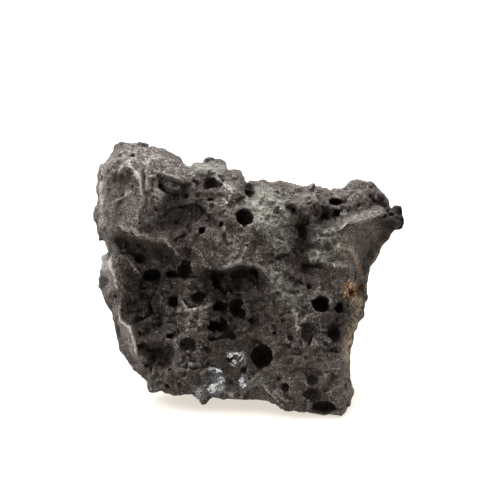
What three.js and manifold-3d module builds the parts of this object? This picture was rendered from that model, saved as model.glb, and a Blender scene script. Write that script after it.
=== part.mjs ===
// Gyrolite specimen: a hand-sized lump of vesicular basalt with white gyrolite crystals
// grown in some of its gas bubbles. Millimetres, +Z up, front towards -Y, standing on Z = 0.
//
// The lump is described in the frame of its broken front face:
//   x    across the face, to the right
//   up   along the face, upwards
//   out  straight out of the face, negative going back into the lump
// The whole lump leans back, and toRow() turns that frame into the part's own.
import * as THREE from "three";
import { ConvexHull } from "three/addons/math/ConvexHull.js";
import { mergeVertices } from "three/addons/utils/BufferGeometryUtils.js";
import Module from "manifold-3d";

const wasm = await Module();
wasm.setup();

// ---------------------------------------------------------------- driving dimensions
const LEAN = THREE.MathUtils.degToRad(18); // the face leans back this far
const FACE_FOOT = 1.2; // "up" where the plane of the face meets the ground
const MIDDLE_X = -0.2; // x and y of the middle of the lump, which is the part's origin
const MIDDLE_Y = 13.1;
const ROUGH_DEPTH = -34; // the block of rock before its back is broken off ends here
const SEAT_GAP = 0.3; // free space between a crystal cluster and its bubble

// Its outline seen square to the face: [x, up, out], clockwise from the left.
const OUTLINE = [
  [-25.7, 31.2, -3.0], [-25.7, 32.9, -3.2], [-26.0, 35.2, -3.4], [-26.0, 35.9, -3.4],
  [-25.6, 36.2, -3.2], [-25.3, 39.3, -3.0], [-25.1, 41.4, -2.8], [-25.0, 42.0, -2.8],
  [-24.2, 42.4, -2.0], [-23.2, 43.7, -2.0], [-22.6, 44.4, -2.2], [-22.0, 45.6, -2.6],
  [-21.1, 45.8, -2.8], [-20.3, 45.9, -3.0], [-19.2, 45.9, -3.0], [-18.5, 45.6, -3.0],
  [-17.5, 45.6, -3.4], [-16.2, 45.3, -3.8], [-15.4, 44.9, -4.0], [-14.6, 44.8, -4.4],
  [-13.4, 44.2, -4.8], [-12.5, 43.6, -5.0], [-11.8, 43.1, -5.2], [-10.7, 42.0, -4.6],
  [-9.9, 42.3, -4.8], [-9.1, 42.5, -5.0], [-7.9, 42.6, -5.0], [-7.4, 43.3, -5.2], [-6.4, 43.6, -5.4],
  [-5.2, 43.2, -5.2], [-4.3, 42.1, -4.6], [-3.6, 41.2, -4.2], [-2.3, 41.1, -4.2], [-1.5, 40.6, -4.0],
  [-0.8, 39.6, -3.8], [-0.2, 38.6, -3.0], [0.6, 39.2, -3.2], [1.8, 39.2, -3.4], [2.8, 38.8, -3.0],
  [3.5, 38.9, -3.2], [4.5, 39.3, -3.6], [5.5, 39.2, -3.6], [6.6, 38.9, -3.6], [8.3, 38.8, -3.8],
  [9.6, 38.3, -3.2], [10.1, 38.6, -3.0], [10.5, 38.6, -3.0], [10.5, 37.6, -2.8], [11.3, 37.7, -3.2],
  [12.3, 37.7, -3.4], [13.6, 37.7, -3.6], [15.2, 37.9, -4.0], [16.6, 39.1, -5.0], [17.4, 39.4, -5.2],
  [18.4, 39.5, -5.4], [19.4, 39.4, -5.5], [20.5, 39.4, -5.4], [21.0, 38.9, -5.0], [22.0, 38.3, -4.6],
  [22.4, 37.4, -4.2], [22.9, 36.4, -3.6], [23.4, 35.6, -3.1], [23.8, 34.9, -2.7], [24.4, 35.5, -3.0],
  [25.3, 35.6, -3.4], [25.6, 34.4, -3.4], [25.6, 32.8, -3.4], [25.4, 32.0, -3.2], [24.4, 31.3, -2.9],
  [23.9, 30.6, -3.2], [23.6, 29.8, -4.0], [22.4, 29.0, -4.6], [21.7, 28.1, -5.0], [21.0, 26.7, -5.6],
  [20.6, 25.3, -6.0], [20.1, 23.9, -6.2], [19.7, 22.5, -6.2], [19.6, 20.2, -5.6], [19.2, 19.3, -4.8],
  [18.5, 18.1, -4.2], [18.4, 16.6, -4.0], [17.9, 15.8, -3.8], [17.6, 14.4, -3.8], [17.1, 12.7, -3.6],
  [16.9, 11.2, -3.4], [16.6, 9.7, -3.0], [16.6, 8.1, -2.8], [16.6, 6.9, -2.4], [16.9, 6.4, -2.2],
  [16.7, 5.2, -1.4], [17.1, 4.4, -1.0], [16.9, 3.1, 0.0], [16.4, 1.9, 1.2], [15.8, 0.5, 3.0],
  [15.1, 0.1, 3.4], [14.2, 0.4, 3.4], [13.1, 0.4, 3.3], [12.3, 0.2, 3.2], [11.6, 0.5, 3.2],
  [10.7, 0.6, 3.1], [9.0, 0.9, 3.0], [7.9, 1.4, 2.9], [6.3, 1.6, 2.7], [4.9, 1.9, 2.5],
  [3.3, 2.1, 2.3], [1.7, 2.6, 2.1], [0.6, 2.8, 1.9], [-1.0, 3.0, 1.7], [-2.6, 2.9, 1.5],
  [-4.1, 3.0, 1.3], [-5.3, 3.4, 1.1], [-6.7, 3.5, 0.9], [-7.0, 2.8, 1.0], [-7.4, 2.2, 1.0],
  [-8.6, 2.8, 0.8], [-9.4, 3.4, 0.6], [-9.7, 4.1, 0.4], [-10.4, 3.9, 0.5], [-11.1, 4.0, 0.5],
  [-12.1, 3.6, 0.7], [-13.0, 3.2, 0.8], [-14.0, 4.0, 0.5], [-15.2, 4.2, 0.3], [-15.8, 3.8, 0.2],
  [-16.8, 4.1, -0.3], [-17.3, 5.8, -0.8], [-18.7, 7.4, -1.6], [-19.9, 8.5, -2.2], [-21.2, 10.0, -2.8],
  [-21.7, 11.4, -3.0], [-22.3, 13.2, -3.2], [-22.5, 14.3, -3.2], [-22.4, 15.8, -2.8],
  [-23.0, 16.3, -3.0], [-23.5, 17.9, -3.2], [-23.9, 19.1, -3.6], [-24.5, 20.2, -4.0],
  [-25.1, 21.2, -4.4], [-25.4, 22.1, -4.6], [-25.2, 24.1, -4.6], [-24.8, 24.8, -4.2],
  [-24.9, 26.5, -4.0], [-23.8, 27.4, -3.0], [-24.1, 28.4, -2.8], [-24.5, 29.6, -2.8],
  [-25.2, 30.3, -2.8],
];

// Points of the broken face: [x, up, out]. Flat facets join each to its neighbours.
const FACE_POINTS = [
  // upper left block: left flank, face, and its upright ridge
  [-24.2, 41.3, 0.1], [-24.3, 38.7, 0.5], [-24.4, 35.3, 0.5], [-24.5, 32.0, -0.2], [-24.0, 30.2, -1.4],
  [-23.3, 40.2, 1.9], [-23.0, 35.7, 2.2], [-23.0, 32.5, 2.3], [-21.5, 38.5, 3.2], [-21.6, 36.5, 3.4],
  [-20.3, 37.3, 4.3], [-21.0, 34.2, 4.0], [-20.3, 39.8, 3.8], [-19.4, 41.5, 4.3], [-18.7, 40.3, 5.2],
  [-18.2, 38.8, 5.8], [-17.8, 35.7, 6.2], [-17.9, 33.0, 6.1], [-18.2, 31.2, 5.6],
  // block: its crown, and the pale slope along the top
  [-23.5, 41.5, 1.3], [-22.0, 42.8, 1.6], [-20.5, 43.2, 2.0], [-19.3, 42.7, 3.4], [-21.5, 44.3, -1.2],
  [-19.5, 44.7, -1.1], [-18.0, 44.2, -0.5], [-17.3, 42.2, 1.9], [-16.3, 43.7, -1.4],
  [-14.7, 42.8, -1.7], [-13.0, 42.2, -2.9], [-11.7, 40.8, -3.0], [-16.7, 40.5, 1.9],
  [-15.2, 40.2, 1.2], [-13.3, 39.9, -0.2], [-11.8, 39.2, -1.2], [-10.7, 38.8, -2.2],
  // block: right flank, the hollow under the slope, the valley
  [-16.7, 39.2, 2.9], [-15.4, 38.3, 1.5], [-16.8, 37.0, 3.8], [-15.3, 36.2, 1.6], [-16.7, 34.2, 3.6],
  [-15.5, 32.5, 1.8], [-16.3, 31.2, 3.1], [-14.7, 39.3, -2.6], [-13.0, 39.0, -3.8],
  [-11.5, 38.2, -4.1], [-14.2, 36.8, -1.4], [-12.7, 36.3, -2.5], [-11.0, 36.5, -2.3],
  [-13.7, 34.2, -1.2], [-12.0, 34.2, -1.9], [-13.3, 31.8, -0.3], [-11.2, 31.8, -1.1],
  [-9.8, 34.2, -0.7], [-9.7, 32.2, -0.2],
  // lower edge of the block and the dark slope below it
  [-23.2, 30.7, 1.3], [-21.7, 30.6, 3.2], [-19.8, 31.0, 4.8], [-17.3, 30.4, 4.9], [-15.4, 29.7, 4.0],
  [-13.9, 29.6, 3.1], [-13.2, 28.9, 2.5], [-12.2, 28.1, 1.6], [-21.3, 29.5, -0.5], [-19.2, 29.0, 0.1],
  [-16.8, 28.3, 0.1], [-14.5, 27.7, -0.2], [-12.5, 26.7, -0.3], [-10.7, 29.5, -0.2],
  [-10.7, 27.2, -0.2],
  // second peak and the ridge that runs down from it
  [-10.2, 41.0, -3.5], [-8.5, 41.2, -2.5], [-6.8, 42.2, -5.3], [-5.2, 41.7, -4.4], [-9.5, 40.0, -1.7],
  [-8.7, 38.3, -0.8], [-10.3, 37.7, -1.9], [-7.7, 40.8, -1.2], [-6.2, 40.1, -0.3], [-4.7, 38.9, 0.4],
  [-3.2, 37.8, 0.9], [-3.5, 40.2, -3.0], [-2.2, 38.8, -1.9], [-1.3, 37.3, -0.8], [-6.3, 37.3, 0.9],
  [-8.3, 36.2, 0.2], [-4.7, 36.2, 1.9],
  // central mass down to the lip of its ledge
  [-8.0, 34.2, 1.0], [-6.7, 32.5, 2.0], [-8.3, 31.8, 1.3], [-5.5, 34.5, 2.3], [-3.5, 34.5, 2.9],
  [-4.3, 31.8, 4.0], [-2.0, 30.8, 4.6], [-0.3, 35.5, 1.8], [0.8, 31.5, 3.8], [-9.0, 29.5, 1.5],
  [-6.3, 29.5, 3.7], [-4.3, 29.0, 4.8], [-7.7, 27.5, 3.1], [-5.2, 26.7, 4.8], [-2.7, 27.3, 5.2],
  [-0.5, 28.5, 4.8], [1.3, 28.7, 4.0], [-9.7, 28.5, 1.2], [-8.6, 26.8, 2.3], [-7.5, 25.5, 3.4],
  [-6.2, 25.1, 4.0], [-4.2, 25.2, 4.8], [-1.8, 25.5, 5.1], [1.0, 25.4, 4.3], [3.2, 24.2, 3.7],
  [4.3, 22.2, 3.7],
  // hollow under the ledge
  [-7.3, 24.5, 0.1], [-6.0, 24.4, -0.5], [-4.5, 24.2, -2.3], [-1.8, 24.4, -3.2], [0.7, 24.4, -2.5],
  [2.0, 23.3, 0.7], [-5.7, 22.2, -1.1], [-3.7, 22.2, -2.0], [-1.7, 21.8, -2.0], [0.3, 21.8, -0.5],
  [-2.7, 20.3, -0.3], [-0.3, 20.0, 0.9], [2.2, 20.7, 2.0],
  // top edge right of the middle, and the crusted face below it
  [0.2, 37.7, -3.2], [1.3, 37.8, -2.0], [2.8, 37.8, -1.7], [4.8, 37.7, -2.3], [7.2, 37.7, -2.6],
  [9.2, 37.5, -2.5], [11.3, 36.8, -1.9], [13.5, 36.8, -2.3], [1.5, 36.2, 0.9], [3.3, 35.8, 1.3],
  [5.5, 35.6, 0.2], [8.0, 35.4, 0.2], [10.8, 35.7, 0.1], [13.0, 35.7, -0.1], [1.8, 33.8, 2.2],
  [3.8, 33.5, 2.3], [2.7, 31.8, 3.1], [4.8, 31.5, 2.2], [4.3, 29.0, 2.8], [5.7, 33.8, 1.0],
  [6.7, 34.0, -1.5], [7.7, 33.5, 0.5], [6.8, 31.8, 1.5], [8.5, 32.7, -0.2], [8.8, 30.2, -0.8],
  [7.2, 29.0, 1.6], [10.2, 33.3, 1.5], [10.3, 30.7, 1.9], [9.3, 28.2, -0.2], [11.7, 34.7, 0.4],
  [12.3, 33.0, -1.1], [14.0, 32.8, -1.4], [11.5, 31.5, 1.2], [13.2, 30.8, 1.3], [14.7, 31.3, 0.9],
  // wing: hump, pale strip, knob
  [15.3, 36.7, -1.9], [14.8, 34.8, -1.2], [16.2, 35.3, -1.4], [17.0, 37.5, -3.5], [18.7, 37.8, -4.1],
  [20.7, 37.8, -4.7], [17.7, 35.8, -2.5], [19.5, 36.5, -2.9], [21.5, 36.7, -4.6], [20.2, 35.4, -3.8],
  [22.5, 35.5, -5.0], [15.7, 33.0, -0.8], [17.5, 33.9, -1.9], [19.2, 34.6, -2.6], [21.2, 35.2, -3.3],
  [23.0, 34.6, -3.2], [16.2, 31.3, 0.7], [17.0, 32.1, 0.4], [18.5, 32.6, -0.3], [20.5, 32.8, -1.2],
  [22.3, 33.0, -2.2], [23.1, 33.8, -2.6], [23.6, 34.0, -1.4], [24.8, 34.6, -2.2], [23.6, 32.2, -1.9],
  [24.8, 32.7, -1.7],
  // smooth hollow flank of the wing
  [16.8, 30.2, 0.4], [17.1, 28.3, -0.2], [18.0, 26.0, -2.5], [18.2, 23.5, -4.4], [18.8, 31.3, -2.5],
  [21.0, 31.7, -3.5], [22.8, 31.7, -3.8], [18.5, 29.3, -3.2], [20.3, 29.5, -5.0], [22.2, 30.2, -5.4],
  [18.7, 27.2, -4.6], [20.0, 27.5, -6.3], [18.8, 24.8, -6.1], [18.7, 22.0, -6.5],
  // middle right
  [6.0, 26.8, 2.3], [3.0, 26.8, 3.7], [5.2, 24.8, 3.4], [4.8, 22.5, 4.2], [6.0, 20.2, 4.3],
  [7.7, 18.0, 4.4], [8.8, 15.8, 4.2], [7.8, 25.8, 1.0], [8.3, 23.2, 2.5], [10.2, 25.2, -0.5],
  [11.7, 26.8, 1.8], [11.3, 28.5, 1.5], [13.5, 28.7, 1.0], [15.5, 29.0, 1.2], [13.5, 26.5, 1.8],
  [15.7, 26.7, 1.5], [12.8, 24.3, 1.9], [10.8, 22.8, 2.2], [15.2, 24.3, 1.5], [16.7, 25.0, 0.1],
  [10.0, 20.2, 2.9], [13.0, 21.5, 2.5], [15.0, 22.2, 1.9], [16.8, 22.3, -0.5], [13.3, 19.5, 3.1],
  [15.7, 19.7, 0.1], [17.5, 19.2, -2.6], [13.5, 16.7, 2.9], [15.8, 16.8, -0.1], [17.3, 16.7, -2.9],
  [10.8, 16.5, 3.7], [12.0, 15.0, 2.9], [15.7, 14.5, 0.2], [16.8, 14.2, -2.6],
  // lower right, down to the foot
  [2.7, 18.5, 2.2], [4.5, 17.5, 2.9], [1.5, 16.0, 1.5], [3.8, 14.3, 2.5], [6.2, 14.5, 3.6],
  [0.2, 13.5, 1.6], [6.8, 12.0, 3.8], [9.5, 11.8, 4.2], [11.8, 12.0, 3.6], [14.0, 11.8, 2.8],
  [15.4, 11.7, 1.8], [16.2, 11.3, -1.4], [4.7, 11.0, 3.4], [7.2, 9.2, 4.2], [10.2, 9.2, 4.3],
  [13.0, 9.2, 4.0], [15.2, 9.2, 3.1], [15.9, 8.5, 1.0], [4.8, 7.7, 3.7], [7.7, 6.5, 4.4],
  [12.2, 6.5, 4.6], [14.3, 6.2, 4.3], [15.8, 6.2, 2.2], [2.3, 6.7, 2.8], [3.7, 4.8, 3.4],
  [6.7, 3.3, 4.2], [8.3, 4.8, 4.6], [12.2, 4.0, 4.9], [14.7, 3.5, 4.9], [15.9, 3.3, 3.4],
  [15.0, 1.7, 4.9], [0.2, 4.5, 2.3], [2.0, 3.8, 2.8], [9.2, 2.2, 4.6],
  // lower middle
  [0.3, 10.8, 1.8], [0.2, 8.5, 1.9], [-1.7, 12.5, 1.9], [-4.0, 12.5, 2.0], [-4.0, 10.5, 2.3],
  [-2.0, 7.5, 1.8], [-4.7, 7.8, 1.6], [-6.5, 10.0, 2.5], [-7.0, 7.2, 1.9], [-8.3, 12.0, 2.3],
  [-9.0, 9.8, 2.3], [-9.2, 7.3, 2.2], [-4.0, 5.5, 1.3], [-2.3, 4.3, 1.6], [-6.2, 4.3, 1.0],
  [-8.3, 4.8, 1.5], [-8.2, 3.5, 1.6], [-10.0, 5.2, 1.5], [-3.2, 15.3, 1.5], [-1.0, 15.0, 1.3],
  [-4.0, 19.7, 0.1], [-3.7, 16.8, 0.7], [-7.7, 18.5, 1.9], [-7.0, 16.5, 1.8], [-7.8, 14.5, 2.3],
  [-5.7, 13.3, 2.0], [0.7, 18.0, 1.6],
  // left flank and the lower left
  [-23.2, 29.2, -1.1], [-23.0, 26.2, -1.1], [-23.2, 24.3, -1.9], [-22.7, 22.2, -1.9],
  [-22.0, 21.0, -1.2], [-22.8, 19.8, -2.9], [-24.3, 25.8, -5.0], [-24.3, 22.5, -5.6],
  [-21.8, 27.5, -0.3], [-20.5, 25.8, -0.2], [-21.5, 24.2, -0.2], [-20.5, 22.2, -0.5],
  [-19.8, 20.0, -1.2], [-21.0, 19.7, -1.2], [-21.5, 18.5, -0.9], [-21.8, 17.3, -0.7],
  [-20.8, 16.2, 0.1], [-19.7, 14.9, 0.5], [-18.8, 13.2, 0.9], [-18.7, 10.8, 0.5], [-18.2, 8.5, -0.3],
  [-19.5, 17.5, -2.2], [-18.2, 15.5, -1.4], [-22.0, 14.5, -3.8], [-20.5, 12.0, -2.9],
  [-19.5, 9.5, -2.9], [-19.5, 27.5, -0.8], [-17.2, 26.3, -0.9], [-15.0, 26.2, -0.7],
  [-18.0, 25.0, -1.1], [-15.7, 25.0, -0.9], [-13.3, 25.0, -0.5], [-11.8, 25.7, -0.1],
  [-18.2, 22.5, -2.0], [-16.2, 22.3, -2.3], [-14.0, 22.5, -1.9], [-12.0, 22.3, -0.8],
  [-10.2, 22.2, 0.9], [-8.7, 23.7, 1.0], [-8.3, 22.0, 0.7], [-7.2, 20.8, 0.1], [-17.8, 20.2, -0.7],
  [-15.5, 20.3, -0.2], [-13.7, 20.8, -0.1], [-11.0, 20.3, 0.9], [-14.3, 18.2, -0.7],
  [-16.7, 17.7, -2.3], [-12.0, 17.5, 0.9], [-10.3, 18.5, 1.6], [-9.0, 17.3, 2.2], [-15.3, 15.8, -2.0],
  [-17.2, 14.3, -1.5], [-12.7, 15.8, 0.7], [-10.3, 15.7, 2.0], [-13.7, 14.8, 0.2], [-15.0, 14.3, -0.1],
  [-11.7, 13.7, 1.0], [-9.7, 13.7, 1.9], [-17.3, 13.0, 0.4], [-15.3, 12.8, 0.9], [-13.7, 12.3, 1.2],
  [-16.7, 11.3, -2.6], [-15.0, 11.2, -3.7], [-14.0, 9.3, -2.8], [-16.0, 9.2, -2.8],
  [-17.2, 10.2, -0.2], [-17.0, 7.8, -0.1], [-15.3, 7.5, -0.1], [-12.5, 11.5, 1.8], [-11.3, 9.8, 2.0],
  [-12.7, 8.8, 1.3], [-10.8, 7.7, 2.0], [-13.8, 6.7, 1.2], [-12.0, 5.5, 1.6], [-16.3, 5.5, -0.2],
  [-14.5, 4.8, 0.7],
];

// Flat breaks that took off the sides and the back: a point of each, and the way it faces.
const BREAKS = [
  { at: [-26.2, 30, -5.0], faces: [-0.88, 0.1, -0.46] },
  { at: [-24.6, 21, -6.0], faces: [-0.82, -0.22, -0.53] },
  { at: [-19.5, 9, -5.0], faces: [-0.72, -0.38, -0.58] },
  { at: [-20, 45, -6.0], faces: [-0.3, 0.8, -0.52] },
  { at: [-5, 42, -7.5], faces: [0.12, 0.83, -0.54] },
  { at: [12, 38.0, -12.5], faces: [0.06, 0.8, -0.6] },
  { at: [24.4, 34.2, -6.0], faces: [0.66, 0.48, -0.58] },
  { at: [21.4, 21, -9.0], faces: [0.84, -0.06, -0.54] },
  { at: [16.8, 7, -6.0], faces: [0.8, -0.36, -0.48] },
  { at: [-1, 28, -23.0], faces: [-0.1, 0.33, -0.94] },
  { at: [-13, 27, -18.5], faces: [-0.52, 0.22, -0.82] },
  { at: [12, 27, -19.0], faces: [0.46, 0.3, -0.84] },
  { at: [-2, 13, -25.5], faces: [0.06, -0.06, -0.99] },
  { at: [-13, 12, -21.0], faces: [-0.5, -0.12, -0.86] },
  { at: [12, 12, -21.5], faces: [0.52, -0.04, -0.85] },
];

// Shallow scallops of the back and sides, where the rock broke through wide bubbles.
const SCALLOPS = [
  { at: [-8, 33, -25.0], half: [7.0, 5.5, 5.0] },
  { at: [9, 17, -28.0], half: [6.0, 7.0, 5.5] },
  { at: [22.5, 13, -12.0], half: [4.5, 5.0, 5.0] },
  { at: [-27.5, 15, -12.0], half: [5.5, 4.0, 5.0] },
  { at: [3, 40, -14.0], half: [5.5, 4.0, 4.5] },
];

// Hollows of the underside, in the part's own frame; the lump stands on the flat left between.
const UNDERSIDE_HOLLOWS = [
  { at: [0.5, -9.5, -1.4], half: [9.0, 6.0, 2.6] },
  { at: [-3, 4.0, -1.6], half: [5.0, 4.0, 2.4] },
  { at: [9, 7.0, -1.7], half: [4.0, 3.0, 2.3] },
];

// Open gas bubbles of the face: [x, up, half width, half height, depth].
const BUBBLES = [
  [-1.0, 32.9, 1.4, 1.35, 2.0], [-7.8, 30.8, 0.7, 0.7, 1.1], [-6.6, 38.8, 1.15, 1.15, 1.3],
  [-0.2, 37.2, 0.8, 0.7, 1.2], [-10.6, 24.5, 1.15, 1.35, 1.8], [-16.4, 23.7, 1.6, 0.8, 1.5],
  [-12.9, 23.8, 1.0, 0.6, 1.2], [-18.4, 26.4, 1.05, 0.75, 1.0], [-12.6, 19.2, 0.9, 0.85, 1.2],
  [-6.0, 22.3, 0.8, 1.7, 1.4], [-4.5, 20.8, 0.6, 0.6, 0.9], [-8.4, 20.0, 1.3, 1.0, 1.2],
  [-5.3, 18.2, 1.35, 1.0, 1.6], [-1.7, 17.9, 1.5, 1.4, 2.1], [-5.5, 15.2, 1.7, 1.15, 1.7],
  [0.4, 16.0, 0.45, 0.45, 0.6], [2.2, 10.0, 1.7, 1.75, 2.4], [11.7, 18.7, 1.3, 1.2, 1.9],
  [9.7, 21.7, 0.4, 0.4, 0.6], [9.6, 14.4, 1.4, 1.45, 1.1], [14.7, 18.2, 0.65, 1.0, 1.1],
  [13.9, 13.8, 1.1, 1.35, 1.4], [17.3, 23.6, 0.7, 0.75, 0.9], [16.8, 20.5, 1.0, 0.9, 1.0],
  [18.1, 20.3, 0.5, 0.55, 0.8], [10.2, 6.3, 0.9, 0.9, 0.7], [5.9, 5.0, 0.9, 0.9, 0.7],
  [10.2, 3.8, 1.35, 1.15, 0.9], [12.4, 1.7, 2.1, 1.1, 2.2], [15.5, 5.1, 0.5, 0.5, 0.7],
  [-13.0, 7.7, 0.5, 0.5, 0.8], [-10.7, 6.4, 0.4, 0.4, 0.6], [-13.7, 5.3, 0.35, 0.35, 0.5],
  [-10.3, 12.1, 1.3, 1.15, 1.0], [-18.1, 12.0, 0.7, 0.7, 0.6], [-13.3, 13.5, 0.5, 0.5, 0.7],
  [14.2, 35.8, 1.0, 0.55, 1.2], [14.6, 34.0, 0.55, 0.65, 0.9], [12.5, 33.5, 0.5, 0.5, 0.8],
  [-15.4, 28.0, 0.5, 0.25, 0.5], [-17.0, 42.0, 0.4, 0.25, 0.4],
];

// Gyrolite in its bubbles: middle [x, up], half sizes, plates crossing in it, turn of the set.
const CLUSTERS = [
  { name: "gyrolite_low_cluster", at: [-5.6, 5.4], half: [1.6, 1.25, 1.2], plates: 7, turn: 0.5 },
  { name: "gyrolite_upper_cluster", at: [-2.3, 9.8], half: [1.4, 1.05, 1.0], plates: 6, turn: 1.1 },
  { name: "gyrolite_left_tuft", at: [-5.8, 7.9], half: [0.95, 0.5, 0.7], plates: 4, turn: 2.3 },
  { name: "gyrolite_right_tuft", at: [-1.2, 6.1], half: [0.55, 0.75, 0.7], plates: 4, turn: 3.1 },
];

// Shares of a bubble's or a cluster's own half sizes.
const MOUTH_SINK = 0.2; // a bubble's middle lies this far below the face
const CLUSTER_SINK = 0.3; // and a cluster's middle this far
const SEAT_EASE = 1.12; // the bubble that a cluster grew in is this much wider
const CORE = 0.5; // the grown-together middle of a cluster
const PLATE_RADIUS = [0.95, 0.83, 0.71]; // plates of three sizes take turns
const PLATE_THICKNESS = 0.26;
const PLATE_OFFSET = 0.16; // plates cross this far off the middle

// ---------------------------------------------------------------- frames and solids
const heightOf = (up, out) => (up - FACE_FOOT) * Math.cos(LEAN) + out * Math.sin(LEAN);
const depthOf = (up, out) => (up - FACE_FOOT) * Math.sin(LEAN) - out * Math.cos(LEAN);

// From the face frame (x, up, out) to the part's own (x, y, z).
const toRow = ([x, up, out]) => [x - MIDDLE_X, depthOf(up, out) - MIDDLE_Y, heightOf(up, out)];

// For what is already given in the part's own frame.
const asGiven = (point) => point;

// A closed three.js geometry as a manifold-3d solid, its points moved by a function first.
function solidOf(geometry, place) {
  const bare = geometry.clone();
  bare.deleteAttribute("normal");
  bare.deleteAttribute("uv");
  const merged = mergeVertices(bare, 1e-4);
  const positions = merged.attributes.position;
  const point = new THREE.Vector3();
  for (let i = 0; i < positions.count; i++) {
    positions.setXYZ(i, ...place(point.fromBufferAttribute(positions, i).toArray()));
  }
  return new wasm.Manifold(
    new wasm.Mesh({
      numProp: 3,
      vertProperties: positions.array,
      triVerts: new Uint32Array(merged.index.array),
    }),
  );
}

function geometryOf(solid) {
  const { vertProperties, triVerts } = solid.getMesh();
  const geometry = new THREE.BufferGeometry();
  geometry.setAttribute("position", new THREE.BufferAttribute(vertProperties, 3));
  geometry.setIndex(new THREE.BufferAttribute(triVerts, 1));
  geometry.computeVertexNormals();
  return geometry;
}

// ---------------------------------------------------------------- the broken face
function insideOutline(x, up) {
  let inside = false;
  OUTLINE.forEach(([ax, au], i) => {
    const [bx, bu] = OUTLINE[(i + 1) % OUTLINE.length];
    if (au > up !== bu > up && x < ax + ((up - au) * (bx - ax)) / (bu - au)) inside = !inside;
  });
  return inside;
}

// Neighbours are found by lifting the points onto a bowl: the facets are the underside of
// their convex hull. Those that fall outside the outline are left out.
function faceTriangles(points) {
  const lifted = points.map(([x, up]) => new THREE.Vector3(x, up, x * x + up * up));
  const numberOf = new Map(lifted.map((p, i) => [p, i]));
  const triangles = [];
  for (const face of new ConvexHull().setFromPoints(lifted).faces) {
    if (face.normal.z >= 0) continue;
    const corners = [0, 1, 2].map((k) => face.getEdge(k).head().point);
    const middle = corners[0].clone().add(corners[1]).add(corners[2]).divideScalar(3);
    if (!insideOutline(middle.x, middle.y)) continue;
    triangles.push(corners.reverse().map((p) => numberOf.get(p)));
  }
  return triangles;
}

const facePoints = [...OUTLINE, ...FACE_POINTS];
const triangles = faceTriangles(facePoints);

// How far out the face lies at a place on it.
function faceHeight(x, up) {
  for (const corners of triangles) {
    const [a, b, c] = corners.map((i) => facePoints[i]);
    const area = (b[0] - a[0]) * (c[1] - a[1]) - (c[0] - a[0]) * (b[1] - a[1]);
    const v = ((x - a[0]) * (c[1] - a[1]) - (c[0] - a[0]) * (up - a[1])) / area;
    const w = ((b[0] - a[0]) * (up - a[1]) - (x - a[0]) * (b[1] - a[1])) / area;
    if (v >= 0 && w >= 0 && v + w <= 1) return a[2] + v * (b[2] - a[2]) + w * (c[2] - a[2]);
  }
  return 0;
}

// The face's facets, a flat back far behind them, and straight sides between the two.
function roughBlock() {
  const count = facePoints.length;
  const positions = [...facePoints, ...facePoints.map(([x, up]) => [x, up, ROUGH_DEPTH])];
  const edges = new Set(triangles.flatMap(([a, b, c]) => [`${a},${b}`, `${b},${c}`, `${c},${a}`]));
  const index = triangles.flatMap(([a, b, c]) => [a, b, c, c + count, b + count, a + count]);
  for (const edge of edges) {
    const [a, b] = edge.split(",").map(Number);
    if (edges.has(`${b},${a}`)) continue;
    index.push(b, a, a + count, b, a + count, b + count);
  }
  const geometry = new THREE.BufferGeometry();
  geometry.setAttribute("position", new THREE.Float32BufferAttribute(positions.flat(), 3));
  geometry.setIndex(index);
  return solidOf(geometry, toRow);
}

// ---------------------------------------------------------------- what is taken off it
// Everything on the outer side of a flat break.
function beyondBreak({ at, faces }) {
  const SIZE = 120;
  const outward = new THREE.Vector3(...faces).normalize();
  const turn = new THREE.Quaternion().setFromUnitVectors(new THREE.Vector3(0, 0, 1), outward);
  const block = new THREE.BoxGeometry(SIZE, SIZE, SIZE).translate(0, 0, SIZE / 2);
  block.applyQuaternion(turn).translate(...at);
  return solidOf(block, toRow);
}

function belowGround() {
  const SIZE = 200;
  return solidOf(new THREE.BoxGeometry(SIZE, SIZE, SIZE).translate(0, 0, -SIZE / 2), asGiven);
}

function ellipsoid(at, half, detail, place = toRow) {
  return solidOf(new THREE.IcosahedronGeometry(1, detail).scale(...half).translate(...at), place);
}

// A bubble broken open: its middle lies a little below the face, so that the mouth is round.
function bubble([x, up, halfWidth, halfHeight, depth]) {
  const LARGE = 0.85;
  const sunk = faceHeight(x, up) - MOUTH_SINK * depth;
  const detail = Math.max(halfWidth, halfHeight) > LARGE ? 1 : 0;
  return ellipsoid([x, up, sunk], [halfWidth, halfHeight, depth], detail);
}

// ---------------------------------------------------------------- the crystals
const clusterMiddle = ({ at, half }) => [...at, faceHeight(...at) - CLUSTER_SINK * half[2]];

// The bubble that a cluster grew in, wider than the cluster by the seat gap.
const seat = (cluster) =>
  ellipsoid(clusterMiddle(cluster), cluster.half.map((h) => h * SEAT_EASE + SEAT_GAP), 1);

// One cluster: six-sided plates that cross one another off their middles. Each is shifted,
// spun, fanned round and tipped by an angle of its own, so that no two faces coincide.
function crystals(cluster) {
  const SHIFT_STEP = 2.1;
  const SPIN_STEP = 0.9;
  const TIP = 0.35;
  const TIP_STEP = 2.4;
  const middle = clusterMiddle(cluster);
  let solid = ellipsoid(middle, cluster.half.map((h) => h * CORE), 0);
  for (let i = 0; i < cluster.plates; i++) {
    const radius = PLATE_RADIUS[i % PLATE_RADIUS.length];
    const plate = new THREE.CylinderGeometry(radius, radius, PLATE_THICKNESS, 6);
    plate.translate(0, PLATE_OFFSET * Math.cos(SHIFT_STEP * i), 0);
    plate.rotateY(SPIN_STEP * i);
    plate.rotateZ(cluster.turn + (i * Math.PI) / cluster.plates);
    plate.rotateX(TIP * Math.sin(TIP_STEP * i + cluster.turn));
    plate.scale(...cluster.half).translate(...middle);
    solid = solid.add(solidOf(plate, toRow));
  }
  return solid;
}

// ---------------------------------------------------------------- the specimen
const basalt = new THREE.MeshStandardMaterial({ color: 0x4a4543, roughness: 0.85, metalness: 0 });
const gyrolite = new THREE.MeshStandardMaterial({ color: 0xd9dade, roughness: 0.4, metalness: 0 });

const specimen = new THREE.Group();

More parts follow.
